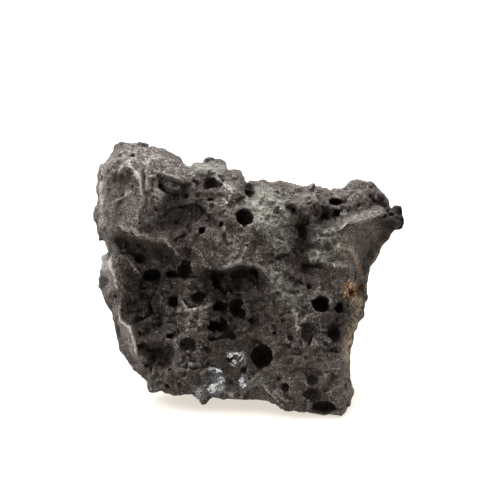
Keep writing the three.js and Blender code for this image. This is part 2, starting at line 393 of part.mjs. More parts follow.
function addPiece(name, solid, material) {
  const mesh = new THREE.Mesh(geometryOf(solid), material);
  mesh.name = name;
  specimen.add(mesh);
}

let matrix = roughBlock();
for (const flat of BREAKS) matrix = matrix.subtract(beyondBreak(flat));
for (const { at, half } of SCALLOPS) matrix = matrix.subtract(ellipsoid(at, half, 2));
for (const hole of BUBBLES) matrix = matrix.subtract(bubble(hole));
for (const cluster of CLUSTERS) matrix = matrix.subtract(seat(cluster));
matrix = matrix.subtract(belowGround());
for (const { at, half } of UNDERSIDE_HOLLOWS) {
  matrix = matrix.subtract(ellipsoid(at, half, 2, asGiven));
}
addPiece("basalt_matrix", matrix, basalt);
for (const cluster of CLUSTERS) addPiece(cluster.name, crystals(cluster), gyrolite);

export default specimen;
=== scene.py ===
# %% [markdown]
# # Gyrolite specimen
#
# A hand-sized lump of vesicular basalt, the frothy top of an old lava flow. Gas bubbles froze
# in it, it was broken out of the rock, and white gyrolite crystals grew in some bubbles low
# on its face. The lump is one natural piece, and each crystal cluster is a piece in a bubble.
#
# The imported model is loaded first. It fixes where everything is and how large it may be.

# %% The frame
import math

import bpy
import numpy as np
from mathutils import Matrix, Vector
from mathutils.geometry import delaunay_2d_cdt


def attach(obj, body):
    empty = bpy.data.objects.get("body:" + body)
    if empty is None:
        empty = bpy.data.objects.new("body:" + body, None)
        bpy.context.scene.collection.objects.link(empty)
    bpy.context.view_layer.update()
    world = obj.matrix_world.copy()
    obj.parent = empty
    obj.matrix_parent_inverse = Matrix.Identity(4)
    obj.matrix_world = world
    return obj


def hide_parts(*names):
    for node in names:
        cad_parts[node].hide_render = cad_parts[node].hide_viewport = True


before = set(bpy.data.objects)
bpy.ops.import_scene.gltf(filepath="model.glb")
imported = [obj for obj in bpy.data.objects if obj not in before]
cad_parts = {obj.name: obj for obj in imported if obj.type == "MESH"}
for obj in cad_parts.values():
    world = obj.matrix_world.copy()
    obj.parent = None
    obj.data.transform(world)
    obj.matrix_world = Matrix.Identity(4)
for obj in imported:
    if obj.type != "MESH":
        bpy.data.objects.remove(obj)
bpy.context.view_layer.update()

MM = 0.001  # sizes below are in millimetres, the scene is in metres

# %% [markdown]
# ## The face's own frame
#
# The broken face leans back by 18 degrees. Its features are easiest to place square to it, so
# the lump is worked out in the face's frame: x across, up along the face, and out of it. One
# rotation and one shift, both kept here, bring every finished point to the row's frame.

# %% From the face's frame to the row's
LEAN = math.radians(18)
FACE_FOOT = 1.2  # "up" where the plane of the face meets the ground
MIDDLE_X = -0.2
MIDDLE_Y = 13.1


def row_y(up, out):
    """Distance along the ground, backwards: the face's own axes turned by its lean."""
    return (up - FACE_FOOT) * math.sin(LEAN) - out * math.cos(LEAN) - MIDDLE_Y


def row_z(up, out):
    """Height above the ground, by the same turn."""
    return (up - FACE_FOOT) * math.cos(LEAN) + out * math.sin(LEAN)


def to_row(points):
    """Points (x, up, out) in mm as points (x, y, z) in metres in the row's frame."""
    x, up, out = np.asarray(points, float).T
    return np.column_stack([x - MIDDLE_X, row_y(up, out), row_z(up, out)]) * MM


print("foot of the face, mm:", (to_row([(0, FACE_FOOT, 0)])[0] / MM).round(1))


# %% [markdown]
# ## The shape of the break
#
# A rock face can be sculpted by hand, displaced with noise, or built on a few hundred surveyed
# points. Here its ridges, ledges and hollows have to be where they are on the real lump, so
# points were read off along every ridge and in every hollow: how far across, how far up, and how
# far out. They are the same points as in the solid model. Flat facets join them.

# %% Outline and face points: across, up, out in mm
OUTLINE = (
    (-25.7, 31.2, -3.0), (-25.7, 32.9, -3.2), (-26.0, 35.2, -3.4), (-26.0, 35.9, -3.4),
    (-25.6, 36.2, -3.2), (-25.3, 39.3, -3.0), (-25.1, 41.4, -2.8), (-25.0, 42.0, -2.8),
    (-24.2, 42.4, -2.0), (-23.2, 43.7, -2.0), (-22.6, 44.4, -2.2), (-22.0, 45.6, -2.6),
    (-21.1, 45.8, -2.8), (-20.3, 45.9, -3.0), (-19.2, 45.9, -3.0), (-18.5, 45.6, -3.0),
    (-17.5, 45.6, -3.4), (-16.2, 45.3, -3.8), (-15.4, 44.9, -4.0), (-14.6, 44.8, -4.4),
    (-13.4, 44.2, -4.8), (-12.5, 43.6, -5.0), (-11.8, 43.1, -5.2), (-10.7, 42.0, -4.6),
    (-9.9, 42.3, -4.8), (-9.1, 42.5, -5.0), (-7.9, 42.6, -5.0), (-7.4, 43.3, -5.2), (-6.4, 43.6, -5.4),
    (-5.2, 43.2, -5.2), (-4.3, 42.1, -4.6), (-3.6, 41.2, -4.2), (-2.3, 41.1, -4.2), (-1.5, 40.6, -4.0),
    (-0.8, 39.6, -3.8), (-0.2, 38.6, -3.0), (0.6, 39.2, -3.2), (1.8, 39.2, -3.4), (2.8, 38.8, -3.0),
    (3.5, 38.9, -3.2), (4.5, 39.3, -3.6), (5.5, 39.2, -3.6), (6.6, 38.9, -3.6), (8.3, 38.8, -3.8),
    (9.6, 38.3, -3.2), (10.1, 38.6, -3.0), (10.5, 38.6, -3.0), (10.5, 37.6, -2.8), (11.3, 37.7, -3.2),
    (12.3, 37.7, -3.4), (13.6, 37.7, -3.6), (15.2, 37.9, -4.0), (16.6, 39.1, -5.0), (17.4, 39.4, -5.2),
    (18.4, 39.5, -5.4), (19.4, 39.4, -5.5), (20.5, 39.4, -5.4), (21.0, 38.9, -5.0), (22.0, 38.3, -4.6),
    (22.4, 37.4, -4.2), (22.9, 36.4, -3.6), (23.4, 35.6, -3.1), (23.8, 34.9, -2.7), (24.4, 35.5, -3.0),
    (25.3, 35.6, -3.4), (25.6, 34.4, -3.4), (25.6, 32.8, -3.4), (25.4, 32.0, -3.2), (24.4, 31.3, -2.9),
    (23.9, 30.6, -3.2), (23.6, 29.8, -4.0), (22.4, 29.0, -4.6), (21.7, 28.1, -5.0), (21.0, 26.7, -5.6),
    (20.6, 25.3, -6.0), (20.1, 23.9, -6.2), (19.7, 22.5, -6.2), (19.6, 20.2, -5.6), (19.2, 19.3, -4.8),
    (18.5, 18.1, -4.2), (18.4, 16.6, -4.0), (17.9, 15.8, -3.8), (17.6, 14.4, -3.8), (17.1, 12.7, -3.6),
    (16.9, 11.2, -3.4), (16.6, 9.7, -3.0), (16.6, 8.1, -2.8), (16.6, 6.9, -2.4), (16.9, 6.4, -2.2),
    (16.7, 5.2, -1.4), (17.1, 4.4, -1.0), (16.9, 3.1, 0.0), (16.4, 1.9, 1.2), (15.8, 0.5, 3.0),
    (15.1, 0.1, 3.4), (14.2, 0.4, 3.4), (13.1, 0.4, 3.3), (12.3, 0.2, 3.2), (11.6, 0.5, 3.2),
    (10.7, 0.6, 3.1), (9.0, 0.9, 3.0), (7.9, 1.4, 2.9), (6.3, 1.6, 2.7), (4.9, 1.9, 2.5),
    (3.3, 2.1, 2.3), (1.7, 2.6, 2.1), (0.6, 2.8, 1.9), (-1.0, 3.0, 1.7), (-2.6, 2.9, 1.5),
    (-4.1, 3.0, 1.3), (-5.3, 3.4, 1.1), (-6.7, 3.5, 0.9), (-7.0, 2.8, 1.0), (-7.4, 2.2, 1.0),
    (-8.6, 2.8, 0.8), (-9.4, 3.4, 0.6), (-9.7, 4.1, 0.4), (-10.4, 3.9, 0.5), (-11.1, 4.0, 0.5),
    (-12.1, 3.6, 0.7), (-13.0, 3.2, 0.8), (-14.0, 4.0, 0.5), (-15.2, 4.2, 0.3), (-15.8, 3.8, 0.2),
    (-16.8, 4.1, -0.3), (-17.3, 5.8, -0.8), (-18.7, 7.4, -1.6), (-19.9, 8.5, -2.2),
    (-21.2, 10.0, -2.8), (-21.7, 11.4, -3.0), (-22.3, 13.2, -3.2), (-22.5, 14.3, -3.2),
    (-22.4, 15.8, -2.8), (-23.0, 16.3, -3.0), (-23.5, 17.9, -3.2), (-23.9, 19.1, -3.6),
    (-24.5, 20.2, -4.0), (-25.1, 21.2, -4.4), (-25.4, 22.1, -4.6), (-25.2, 24.1, -4.6),
    (-24.8, 24.8, -4.2), (-24.9, 26.5, -4.0), (-23.8, 27.4, -3.0), (-24.1, 28.4, -2.8),
    (-24.5, 29.6, -2.8), (-25.2, 30.3, -2.8),
)

FACE_POINTS = (
    # upper left block: left flank, face, and its upright ridge
    (-24.2, 41.3, 0.1), (-24.3, 38.7, 0.5), (-24.4, 35.3, 0.5), (-24.5, 32.0, -0.2),
    (-24.0, 30.2, -1.4), (-23.3, 40.2, 1.9), (-23.0, 35.7, 2.2), (-23.0, 32.5, 2.3),
    (-21.5, 38.5, 3.2), (-21.6, 36.5, 3.4), (-20.3, 37.3, 4.3), (-21.0, 34.2, 4.0), (-20.3, 39.8, 3.8),
    (-19.4, 41.5, 4.3), (-18.7, 40.3, 5.2), (-18.2, 38.8, 5.8), (-17.8, 35.7, 6.2), (-17.9, 33.0, 6.1),
    (-18.2, 31.2, 5.6),
    # block: its crown, and the pale slope along the top
    (-23.5, 41.5, 1.3), (-22.0, 42.8, 1.6), (-20.5, 43.2, 2.0), (-19.3, 42.7, 3.4),
    (-21.5, 44.3, -1.2), (-19.5, 44.7, -1.1), (-18.0, 44.2, -0.5), (-17.3, 42.2, 1.9),
    (-16.3, 43.7, -1.4), (-14.7, 42.8, -1.7), (-13.0, 42.2, -2.9), (-11.7, 40.8, -3.0),
    (-16.7, 40.5, 1.9), (-15.2, 40.2, 1.2), (-13.3, 39.9, -0.2), (-11.8, 39.2, -1.2),
    (-10.7, 38.8, -2.2),
    # block: right flank, the hollow under the slope, the valley
    (-16.7, 39.2, 2.9), (-15.4, 38.3, 1.5), (-16.8, 37.0, 3.8), (-15.3, 36.2, 1.6), (-16.7, 34.2, 3.6),
    (-15.5, 32.5, 1.8), (-16.3, 31.2, 3.1), (-14.7, 39.3, -2.6), (-13.0, 39.0, -3.8),
    (-11.5, 38.2, -4.1), (-14.2, 36.8, -1.4), (-12.7, 36.3, -2.5), (-11.0, 36.5, -2.3),
    (-13.7, 34.2, -1.2), (-12.0, 34.2, -1.9), (-13.3, 31.8, -0.3), (-11.2, 31.8, -1.1),
    (-9.8, 34.2, -0.7), (-9.7, 32.2, -0.2),
    # lower edge of the block and the dark slope below it
    (-23.2, 30.7, 1.3), (-21.7, 30.6, 3.2), (-19.8, 31.0, 4.8), (-17.3, 30.4, 4.9), (-15.4, 29.7, 4.0),
    (-13.9, 29.6, 3.1), (-13.2, 28.9, 2.5), (-12.2, 28.1, 1.6), (-21.3, 29.5, -0.5),
    (-19.2, 29.0, 0.1), (-16.8, 28.3, 0.1), (-14.5, 27.7, -0.2), (-12.5, 26.7, -0.3),
    (-10.7, 29.5, -0.2), (-10.7, 27.2, -0.2),
    # second peak and the ridge that runs down from it
    (-10.2, 41.0, -3.5), (-8.5, 41.2, -2.5), (-6.8, 42.2, -5.3), (-5.2, 41.7, -4.4),
    (-9.5, 40.0, -1.7), (-8.7, 38.3, -0.8), (-10.3, 37.7, -1.9), (-7.7, 40.8, -1.2),
    (-6.2, 40.1, -0.3), (-4.7, 38.9, 0.4), (-3.2, 37.8, 0.9), (-3.5, 40.2, -3.0), (-2.2, 38.8, -1.9),
    (-1.3, 37.3, -0.8), (-6.3, 37.3, 0.9), (-8.3, 36.2, 0.2), (-4.7, 36.2, 1.9),
    # central mass down to the lip of its ledge
    (-8.0, 34.2, 1.0), (-6.7, 32.5, 2.0), (-8.3, 31.8, 1.3), (-5.5, 34.5, 2.3), (-3.5, 34.5, 2.9),
    (-4.3, 31.8, 4.0), (-2.0, 30.8, 4.6), (-0.3, 35.5, 1.8), (0.8, 31.5, 3.8), (-9.0, 29.5, 1.5),
    (-6.3, 29.5, 3.7), (-4.3, 29.0, 4.8), (-7.7, 27.5, 3.1), (-5.2, 26.7, 4.8), (-2.7, 27.3, 5.2),
    (-0.5, 28.5, 4.8), (1.3, 28.7, 4.0), (-9.7, 28.5, 1.2), (-8.6, 26.8, 2.3), (-7.5, 25.5, 3.4),
    (-6.2, 25.1, 4.0), (-4.2, 25.2, 4.8), (-1.8, 25.5, 5.1), (1.0, 25.4, 4.3), (3.2, 24.2, 3.7),
    (4.3, 22.2, 3.7),
    # hollow under the ledge
    (-7.3, 24.5, 0.1), (-6.0, 24.4, -0.5), (-4.5, 24.2, -2.3), (-1.8, 24.4, -3.2), (0.7, 24.4, -2.5),
    (2.0, 23.3, 0.7), (-5.7, 22.2, -1.1), (-3.7, 22.2, -2.0), (-1.7, 21.8, -2.0), (0.3, 21.8, -0.5),
    (-2.7, 20.3, -0.3), (-0.3, 20.0, 0.9), (2.2, 20.7, 2.0),
    # top edge right of the middle, and the crusted face below it
    (0.2, 37.7, -3.2), (1.3, 37.8, -2.0), (2.8, 37.8, -1.7), (4.8, 37.7, -2.3), (7.2, 37.7, -2.6),
    (9.2, 37.5, -2.5), (11.3, 36.8, -1.9), (13.5, 36.8, -2.3), (1.5, 36.2, 0.9), (3.3, 35.8, 1.3),
    (5.5, 35.6, 0.2), (8.0, 35.4, 0.2), (10.8, 35.7, 0.1), (13.0, 35.7, -0.1), (1.8, 33.8, 2.2),
    (3.8, 33.5, 2.3), (2.7, 31.8, 3.1), (4.8, 31.5, 2.2), (4.3, 29.0, 2.8), (5.7, 33.8, 1.0),
    (6.7, 34.0, -1.5), (7.7, 33.5, 0.5), (6.8, 31.8, 1.5), (8.5, 32.7, -0.2), (8.8, 30.2, -0.8),
    (7.2, 29.0, 1.6), (10.2, 33.3, 1.5), (10.3, 30.7, 1.9), (9.3, 28.2, -0.2), (11.7, 34.7, 0.4),
    (12.3, 33.0, -1.1), (14.0, 32.8, -1.4), (11.5, 31.5, 1.2), (13.2, 30.8, 1.3), (14.7, 31.3, 0.9),
    # wing: hump, pale strip, knob
    (15.3, 36.7, -1.9), (14.8, 34.8, -1.2), (16.2, 35.3, -1.4), (17.0, 37.5, -3.5), (18.7, 37.8, -4.1),
    (20.7, 37.8, -4.7), (17.7, 35.8, -2.5), (19.5, 36.5, -2.9), (21.5, 36.7, -4.6), (20.2, 35.4, -3.8),
    (22.5, 35.5, -5.0), (15.7, 33.0, -0.8), (17.5, 33.9, -1.9), (19.2, 34.6, -2.6), (21.2, 35.2, -3.3),
    (23.0, 34.6, -3.2), (16.2, 31.3, 0.7), (17.0, 32.1, 0.4), (18.5, 32.6, -0.3), (20.5, 32.8, -1.2),
    (22.3, 33.0, -2.2), (23.1, 33.8, -2.6), (23.6, 34.0, -1.4), (24.8, 34.6, -2.2), (23.6, 32.2, -1.9),
    (24.8, 32.7, -1.7),
    # smooth hollow flank of the wing
    (16.8, 30.2, 0.4), (17.1, 28.3, -0.2), (18.0, 26.0, -2.5), (18.2, 23.5, -4.4), (18.8, 31.3, -2.5),
    (21.0, 31.7, -3.5), (22.8, 31.7, -3.8), (18.5, 29.3, -3.2), (20.3, 29.5, -5.0), (22.2, 30.2, -5.4),
    (18.7, 27.2, -4.6), (20.0, 27.5, -6.3), (18.8, 24.8, -6.1), (18.7, 22.0, -6.5),
    # middle right
    (6.0, 26.8, 2.3), (3.0, 26.8, 3.7), (5.2, 24.8, 3.4), (4.8, 22.5, 4.2), (6.0, 20.2, 4.3),
    (7.7, 18.0, 4.4), (8.8, 15.8, 4.2), (7.8, 25.8, 1.0), (8.3, 23.2, 2.5), (10.2, 25.2, -0.5),
    (11.7, 26.8, 1.8), (11.3, 28.5, 1.5), (13.5, 28.7, 1.0), (15.5, 29.0, 1.2), (13.5, 26.5, 1.8),
    (15.7, 26.7, 1.5), (12.8, 24.3, 1.9), (10.8, 22.8, 2.2), (15.2, 24.3, 1.5), (16.7, 25.0, 0.1),
    (10.0, 20.2, 2.9), (13.0, 21.5, 2.5), (15.0, 22.2, 1.9), (16.8, 22.3, -0.5), (13.3, 19.5, 3.1),
    (15.7, 19.7, 0.1), (17.5, 19.2, -2.6), (13.5, 16.7, 2.9), (15.8, 16.8, -0.1), (17.3, 16.7, -2.9),
    (10.8, 16.5, 3.7), (12.0, 15.0, 2.9), (15.7, 14.5, 0.2), (16.8, 14.2, -2.6),
    # lower right, down to the foot
    (2.7, 18.5, 2.2), (4.5, 17.5, 2.9), (1.5, 16.0, 1.5), (3.8, 14.3, 2.5), (6.2, 14.5, 3.6),
    (0.2, 13.5, 1.6), (6.8, 12.0, 3.8), (9.5, 11.8, 4.2), (11.8, 12.0, 3.6), (14.0, 11.8, 2.8),
    (15.4, 11.7, 1.8), (16.2, 11.3, -1.4), (4.7, 11.0, 3.4), (7.2, 9.2, 4.2), (10.2, 9.2, 4.3),
    (13.0, 9.2, 4.0), (15.2, 9.2, 3.1), (15.9, 8.5, 1.0), (4.8, 7.7, 3.7), (7.7, 6.5, 4.4),
    (12.2, 6.5, 4.6), (14.3, 6.2, 4.3), (15.8, 6.2, 2.2), (2.3, 6.7, 2.8), (3.7, 4.8, 3.4),
    (6.7, 3.3, 4.2), (8.3, 4.8, 4.6), (12.2, 4.0, 4.9), (14.7, 3.5, 4.9), (15.9, 3.3, 3.4),
    (15.0, 1.7, 4.9), (0.2, 4.5, 2.3), (2.0, 3.8, 2.8), (9.2, 2.2, 4.6),
    # lower middle
    (0.3, 10.8, 1.8), (0.2, 8.5, 1.9), (-1.7, 12.5, 1.9), (-4.0, 12.5, 2.0), (-4.0, 10.5, 2.3),
    (-2.0, 7.5, 1.8), (-4.7, 7.8, 1.6), (-6.5, 10.0, 2.5), (-7.0, 7.2, 1.9), (-8.3, 12.0, 2.3),
    (-9.0, 9.8, 2.3), (-9.2, 7.3, 2.2), (-4.0, 5.5, 1.3), (-2.3, 4.3, 1.6), (-6.2, 4.3, 1.0),
    (-8.3, 4.8, 1.5), (-8.2, 3.5, 1.6), (-10.0, 5.2, 1.5), (-3.2, 15.3, 1.5), (-1.0, 15.0, 1.3),
    (-4.0, 19.7, 0.1), (-3.7, 16.8, 0.7), (-7.7, 18.5, 1.9), (-7.0, 16.5, 1.8), (-7.8, 14.5, 2.3),
    (-5.7, 13.3, 2.0), (0.7, 18.0, 1.6),
    # left flank and the lower left
    (-23.2, 29.2, -1.1), (-23.0, 26.2, -1.1), (-23.2, 24.3, -1.9), (-22.7, 22.2, -1.9),
    (-22.0, 21.0, -1.2), (-22.8, 19.8, -2.9), (-24.3, 25.8, -5.0), (-24.3, 22.5, -5.6),
    (-21.8, 27.5, -0.3), (-20.5, 25.8, -0.2), (-21.5, 24.2, -0.2), (-20.5, 22.2, -0.5),
    (-19.8, 20.0, -1.2), (-21.0, 19.7, -1.2), (-21.5, 18.5, -0.9), (-21.8, 17.3, -0.7),
    (-20.8, 16.2, 0.1), (-19.7, 14.9, 0.5), (-18.8, 13.2, 0.9), (-18.7, 10.8, 0.5), (-18.2, 8.5, -0.3),
    (-19.5, 17.5, -2.2), (-18.2, 15.5, -1.4), (-22.0, 14.5, -3.8), (-20.5, 12.0, -2.9),
    (-19.5, 9.5, -2.9), (-19.5, 27.5, -0.8), (-17.2, 26.3, -0.9), (-15.0, 26.2, -0.7),
    (-18.0, 25.0, -1.1), (-15.7, 25.0, -0.9), (-13.3, 25.0, -0.5), (-11.8, 25.7, -0.1),
    (-18.2, 22.5, -2.0), (-16.2, 22.3, -2.3), (-14.0, 22.5, -1.9), (-12.0, 22.3, -0.8),
    (-10.2, 22.2, 0.9), (-8.7, 23.7, 1.0), (-8.3, 22.0, 0.7), (-7.2, 20.8, 0.1), (-17.8, 20.2, -0.7),
    (-15.5, 20.3, -0.2), (-13.7, 20.8, -0.1), (-11.0, 20.3, 0.9), (-14.3, 18.2, -0.7),
    (-16.7, 17.7, -2.3), (-12.0, 17.5, 0.9), (-10.3, 18.5, 1.6), (-9.0, 17.3, 2.2),
    (-15.3, 15.8, -2.0), (-17.2, 14.3, -1.5), (-12.7, 15.8, 0.7), (-10.3, 15.7, 2.0),
    (-13.7, 14.8, 0.2), (-15.0, 14.3, -0.1), (-11.7, 13.7, 1.0), (-9.7, 13.7, 1.9), (-17.3, 13.0, 0.4),
    (-15.3, 12.8, 0.9), (-13.7, 12.3, 1.2), (-16.7, 11.3, -2.6), (-15.0, 11.2, -3.7),
    (-14.0, 9.3, -2.8), (-16.0, 9.2, -2.8), (-17.2, 10.2, -0.2), (-17.0, 7.8, -0.1),
    (-15.3, 7.5, -0.1), (-12.5, 11.5, 1.8), (-11.3, 9.8, 2.0), (-12.7, 8.8, 1.3), (-10.8, 7.7, 2.0),
    (-13.8, 6.7, 1.2), (-12.0, 5.5, 1.6), (-16.3, 5.5, -0.2), (-14.5, 4.8, 0.7),
)

print(len(OUTLINE), "points on the outline,", len(FACE_POINTS), "on the face")

# %% Breaks, scallops, bubbles and crystal seats
# Flat breaks of the sides and the back: a point of each, and the way it faces.
BREAKS = (
    ((-26.2, 30, -5.0), (-0.88, 0.1, -0.46)), ((-24.6, 21, -6.0), (-0.82, -0.22, -0.53)),
    ((-19.5, 9, -5.0), (-0.72, -0.38, -0.58)), ((-20, 45, -6.0), (-0.3, 0.8, -0.52)),
    ((-5, 42, -7.5), (0.12, 0.83, -0.54)), ((12, 38.0, -12.5), (0.06, 0.8, -0.6)),
    ((24.4, 34.2, -6.0), (0.66, 0.48, -0.58)), ((21.4, 21, -9.0), (0.84, -0.06, -0.54)),
    ((16.8, 7, -6.0), (0.8, -0.36, -0.48)), ((-1, 28, -23.0), (-0.1, 0.33, -0.94)),
    ((-13, 27, -18.5), (-0.52, 0.22, -0.82)), ((12, 27, -19.0), (0.46, 0.3, -0.84)),
    ((-2, 13, -25.5), (0.06, -0.06, -0.99)), ((-13, 12, -21.0), (-0.5, -0.12, -0.86)),
    ((12, 12, -21.5), (0.52, -0.04, -0.85)),
)

# Shallow scallops of the back and sides: middle and half sizes.
SCALLOPS = (
    ((-8, 33, -25.0), (7.0, 5.5, 5.0)), ((9, 17, -28.0), (6.0, 7.0, 5.5)),
    ((22.5, 13, -12.0), (4.5, 5.0, 5.0)), ((-27.5, 15, -12.0), (5.5, 4.0, 5.0)),
    ((3, 40, -14.0), (5.5, 4.0, 4.5)),
)

# Hollows of the underside, x, y, z in the row's frame: middle and half sizes.
UNDERSIDE_HOLLOWS = (
    ((0.5, -9.5, -1.4), (9.0, 6.0, 2.6)), ((-3, 4.0, -1.6), (5.0, 4.0, 2.4)),
    ((9, 7.0, -1.7), (4.0, 3.0, 2.3)),
)

# Open gas bubbles of the face: across, up, half width, half height, depth.
BUBBLES = (
    (-1.0, 32.8, 1.5, 1.6, 2.2), (-7.8, 30.8, 0.7, 0.7, 1.1), (-6.6, 38.8, 1.15, 1.15, 1.3),
    (-0.2, 37.2, 0.8, 0.7, 1.2), (-10.6, 24.5, 1.15, 1.35, 1.8), (-16.4, 23.7, 1.6, 0.8, 1.5),
    (-12.9, 23.8, 1.0, 0.6, 1.2), (-18.4, 26.4, 1.05, 0.75, 1.0), (-12.6, 19.2, 0.9, 0.85, 1.2),
    (-6.0, 22.3, 0.8, 1.7, 1.4), (-4.5, 20.8, 0.6, 0.6, 0.9), (-8.4, 20.0, 1.3, 1.0, 1.2),
    (-5.3, 18.2, 1.35, 1.0, 1.6), (-1.7, 17.9, 1.5, 1.4, 2.1), (-5.5, 15.2, 1.7, 1.15, 1.7),
    (0.4, 16.0, 0.45, 0.45, 0.6), (2.25, 10.05, 1.8, 1.8, 2.4), (11.7, 18.7, 1.3, 1.2, 1.9),
    (9.7, 21.7, 0.4, 0.4, 0.6), (9.6, 14.4, 1.4, 1.45, 0.8), (14.7, 18.2, 0.65, 1.0, 1.1),
    (13.9, 13.8, 1.1, 1.35, 1.4), (17.3, 23.6, 0.7, 0.75, 0.9), (16.8, 20.5, 1.0, 0.9, 1.0),
    (18.1, 20.3, 0.5, 0.55, 0.8), (10.2, 6.3, 0.9, 0.9, 0.7), (5.9, 5.0, 0.9, 0.9, 0.7),
    (10.2, 3.8, 1.35, 1.15, 0.9), (12.4, 1.9, 2.1, 1.0, 1.5), (15.5, 5.1, 0.5, 0.5, 0.7),
    (-13.0, 7.7, 0.5, 0.5, 0.8), (-10.7, 6.4, 0.4, 0.4, 0.6), (-13.7, 5.3, 0.35, 0.35, 0.5),
    (-10.3, 12.1, 1.3, 1.15, 1.0), (-18.1, 12.0, 0.7, 0.7, 0.6), (-13.3, 13.5, 0.5, 0.5, 0.7),
    (14.2, 35.8, 1.0, 0.55, 1.2), (14.6, 34.0, 0.55, 0.65, 0.9), (12.5, 33.5, 0.5, 0.5, 0.8),
    (-15.4, 28.0, 0.5, 0.25, 0.5), (-17.0, 42.0, 0.4, 0.25, 0.4), (-15.8, 34.5, 0.55, 0.25, 0.6),
    (-19.5, 45.3, 0.3, 0.25, 0.4), (-19.5, 43.5, 0.3, 0.25, 0.4), (-15.4, 37.8, 0.35, 0.4, 0.6),
    (-10.7, 36.8, 0.4, 0.4, 0.6), (-8.4, 34.7, 0.35, 0.25, 0.5),
)

# Gyrolite: node, middle (across, up), half sizes.
CLUSTERS = (
    ("gyrolite_low_cluster", (-5.6, 5.4), (1.6, 1.25, 1.2)),
    ("gyrolite_upper_cluster", (-2.3, 9.8), (1.4, 1.05, 1.0)),
    ("gyrolite_left_tuft", (-5.8, 7.9), (0.95, 0.5, 0.7)),
    ("gyrolite_right_tuft", (-1.2, 6.1), (0.55, 0.75, 0.7)),
)
print(len(BREAKS), "breaks,", len(BUBBLES), "large bubbles,", len(CLUSTERS), "clusters")

# %% [markdown]
# ## A block of space to carve in
#
# Broken bubbles fold under themselves, so a single sheet over a grid can't hold the lump, and
# sculpting thousands of chips by hand would not repeat. The lump is carved instead: numpy keeps
# one number for every cell of a fine block of space, negative in rock and positive in air,
# and each break, chip and bubble takes rock away with one formula over whole arrays.

# %% The block of cells
VOXEL = 0.18
BLOCK_LOW = (-27.0, -0.9, -28.0)
BLOCK_HIGH = (26.8, 46.9, 8.4)
across, upward, outward = (
    np.arange(low, high, VOXEL, dtype=np.float32) for low, high in zip(BLOCK_LOW, BLOCK_HIGH)
)
AXES = (across, upward, outward)
flat_axes = (across, upward)
flat_x, flat_up = across[:, None], upward[None, :]
print("cells:", [len(axis) for axis in AXES])


# %% Smooth noise
def spline_weights(axis, wavelength, phase):
    """How much each lattice value counts at each place of an axis: the cubic B-spline's four
    weights, for lattice values one wavelength apart."""
    place = (axis - axis[0]) / wavelength + phase
    cell = np.floor(place).astype(int)
    t = place - cell
    weights = np.zeros((len(axis), cell.max() + 4), np.float32)
    rows = np.arange(len(axis))
    weights[rows, cell] = (1 - t) ** 3 / 6
    weights[rows, cell + 1] = (3 * t**3 - 6 * t**2 + 4) / 6
    weights[rows, cell + 2] = (-3 * t**3 + 3 * t**2 + 3 * t + 1) / 6
    weights[rows, cell + 3] = t**3 / 6
    return weights


def smooth_noise(axes, wavelength, seed):
    """Soft random hills: random numbers on a coarse lattice, carried to every cell by splines
    along one axis after another, and scaled to a spread of one."""
    rng = np.random.default_rng(seed)
    weights = [spline_weights(axis, wavelength, rng.random()) for axis in axes]
    values = rng.standard_normal([w.shape[1] for w in weights]).astype(np.float32)
    for w in weights:
        values = np.moveaxis(np.tensordot(w, values, axes=(1, 0)), 0, -1)
    return np.ascontiguousarray(values / values.std())


hills = smooth_noise(flat_axes, 5.0, 1)
print("hills 5 mm wide:", hills.min().round(1), "to", hills.max().round(1))

# %% [markdown]
# ## Facets
#
# The facets come from a Delaunay triangulation of the points, which never makes a long thin
# facet where a compact one fits. The places where they are read are first shaken by soft noise,
# so that no edge of the break runs ruler-straight, and the heights are blurred a little.

# %% The facets
INSIDE_ONLY, SAME_POINT = 1, 1e-5  # keep what the outline holds; points this near are one
outline = np.array(OUTLINE, float)
face_points = np.vstack([outline, np.array(FACE_POINTS, float)])
ring = [(i, (i + 1) % len(outline)) for i in range(len(outline))]
flat_points = [Vector(p[:2]) for p in face_points]
whole = [list(range(len(outline)))]
facets = delaunay_2d_cdt(flat_points, ring, whole, INSIDE_ONLY, SAME_POINT)[2]
print("facets of the face:", len(facets))


# %% Heights of the facets
def facet_heights(x, up):
    """How far out the face lies at each place: the plane of the facet it falls in."""
    height = np.full(x.shape, np.nan)
    for facet in facets:
        (ax, au, ah), (bx, bu, bh), (cx, cu, ch) = face_points[facet]
        area = (bx - ax) * (cu - au) - (cx - ax) * (bu - au)
        v = ((x - ax) * (cu - au) - (cx - ax) * (up - au)) / area
        w = ((bx - ax) * (up - au) - (x - ax) * (bu - au)) / area
        within = (v >= -1e-6) & (w >= -1e-6) & (v + w <= 1 + 1e-6)
        height[within] = (ah + v * (bh - ah) + w * (ch - ah))[within]
    return height


middle_height = facet_heights(np.zeros(1), np.full(1, 20.0))[0]
print("height in the middle of the face, mm:", middle_height.round(2))


# %% Distance to the outline
def outline_distance(x, up):
    """Distance to the nearest side of the outline, negative inside, and the rim's height there."""
    nearest = np.full(x.shape, np.inf)
    rim = np.zeros(x.shape)
    inside = np.zeros(x.shape, bool)
    for (ax, au, ah), (bx, bu, bh) in zip(outline, np.roll(outline, -1, axis=0)):
        t = ((x - ax) * (bx - ax) + (up - au) * (bu - au)) / ((bx - ax) ** 2 + (bu - au) ** 2)
        t = np.clip(t, 0, 1)
        gap = np.hypot(x - ax - t * (bx - ax), up - au - t * (bu - au))
        closer = gap < nearest
        nearest[closer] = gap[closer]
        rim[closer] = (ah + t * (bh - ah))[closer]
        if au != bu:
            crossed = ((au > up) != (bu > up)) & (x < ax + (up - au) * (bx - ax) / (bu - au))
            inside ^= crossed
    return np.where(inside, -nearest, nearest), rim


middle_distance, _ = outline_distance(np.zeros(1), np.full(1, 20.0))
print("from there to the outline, mm:", middle_distance[0].round(1))


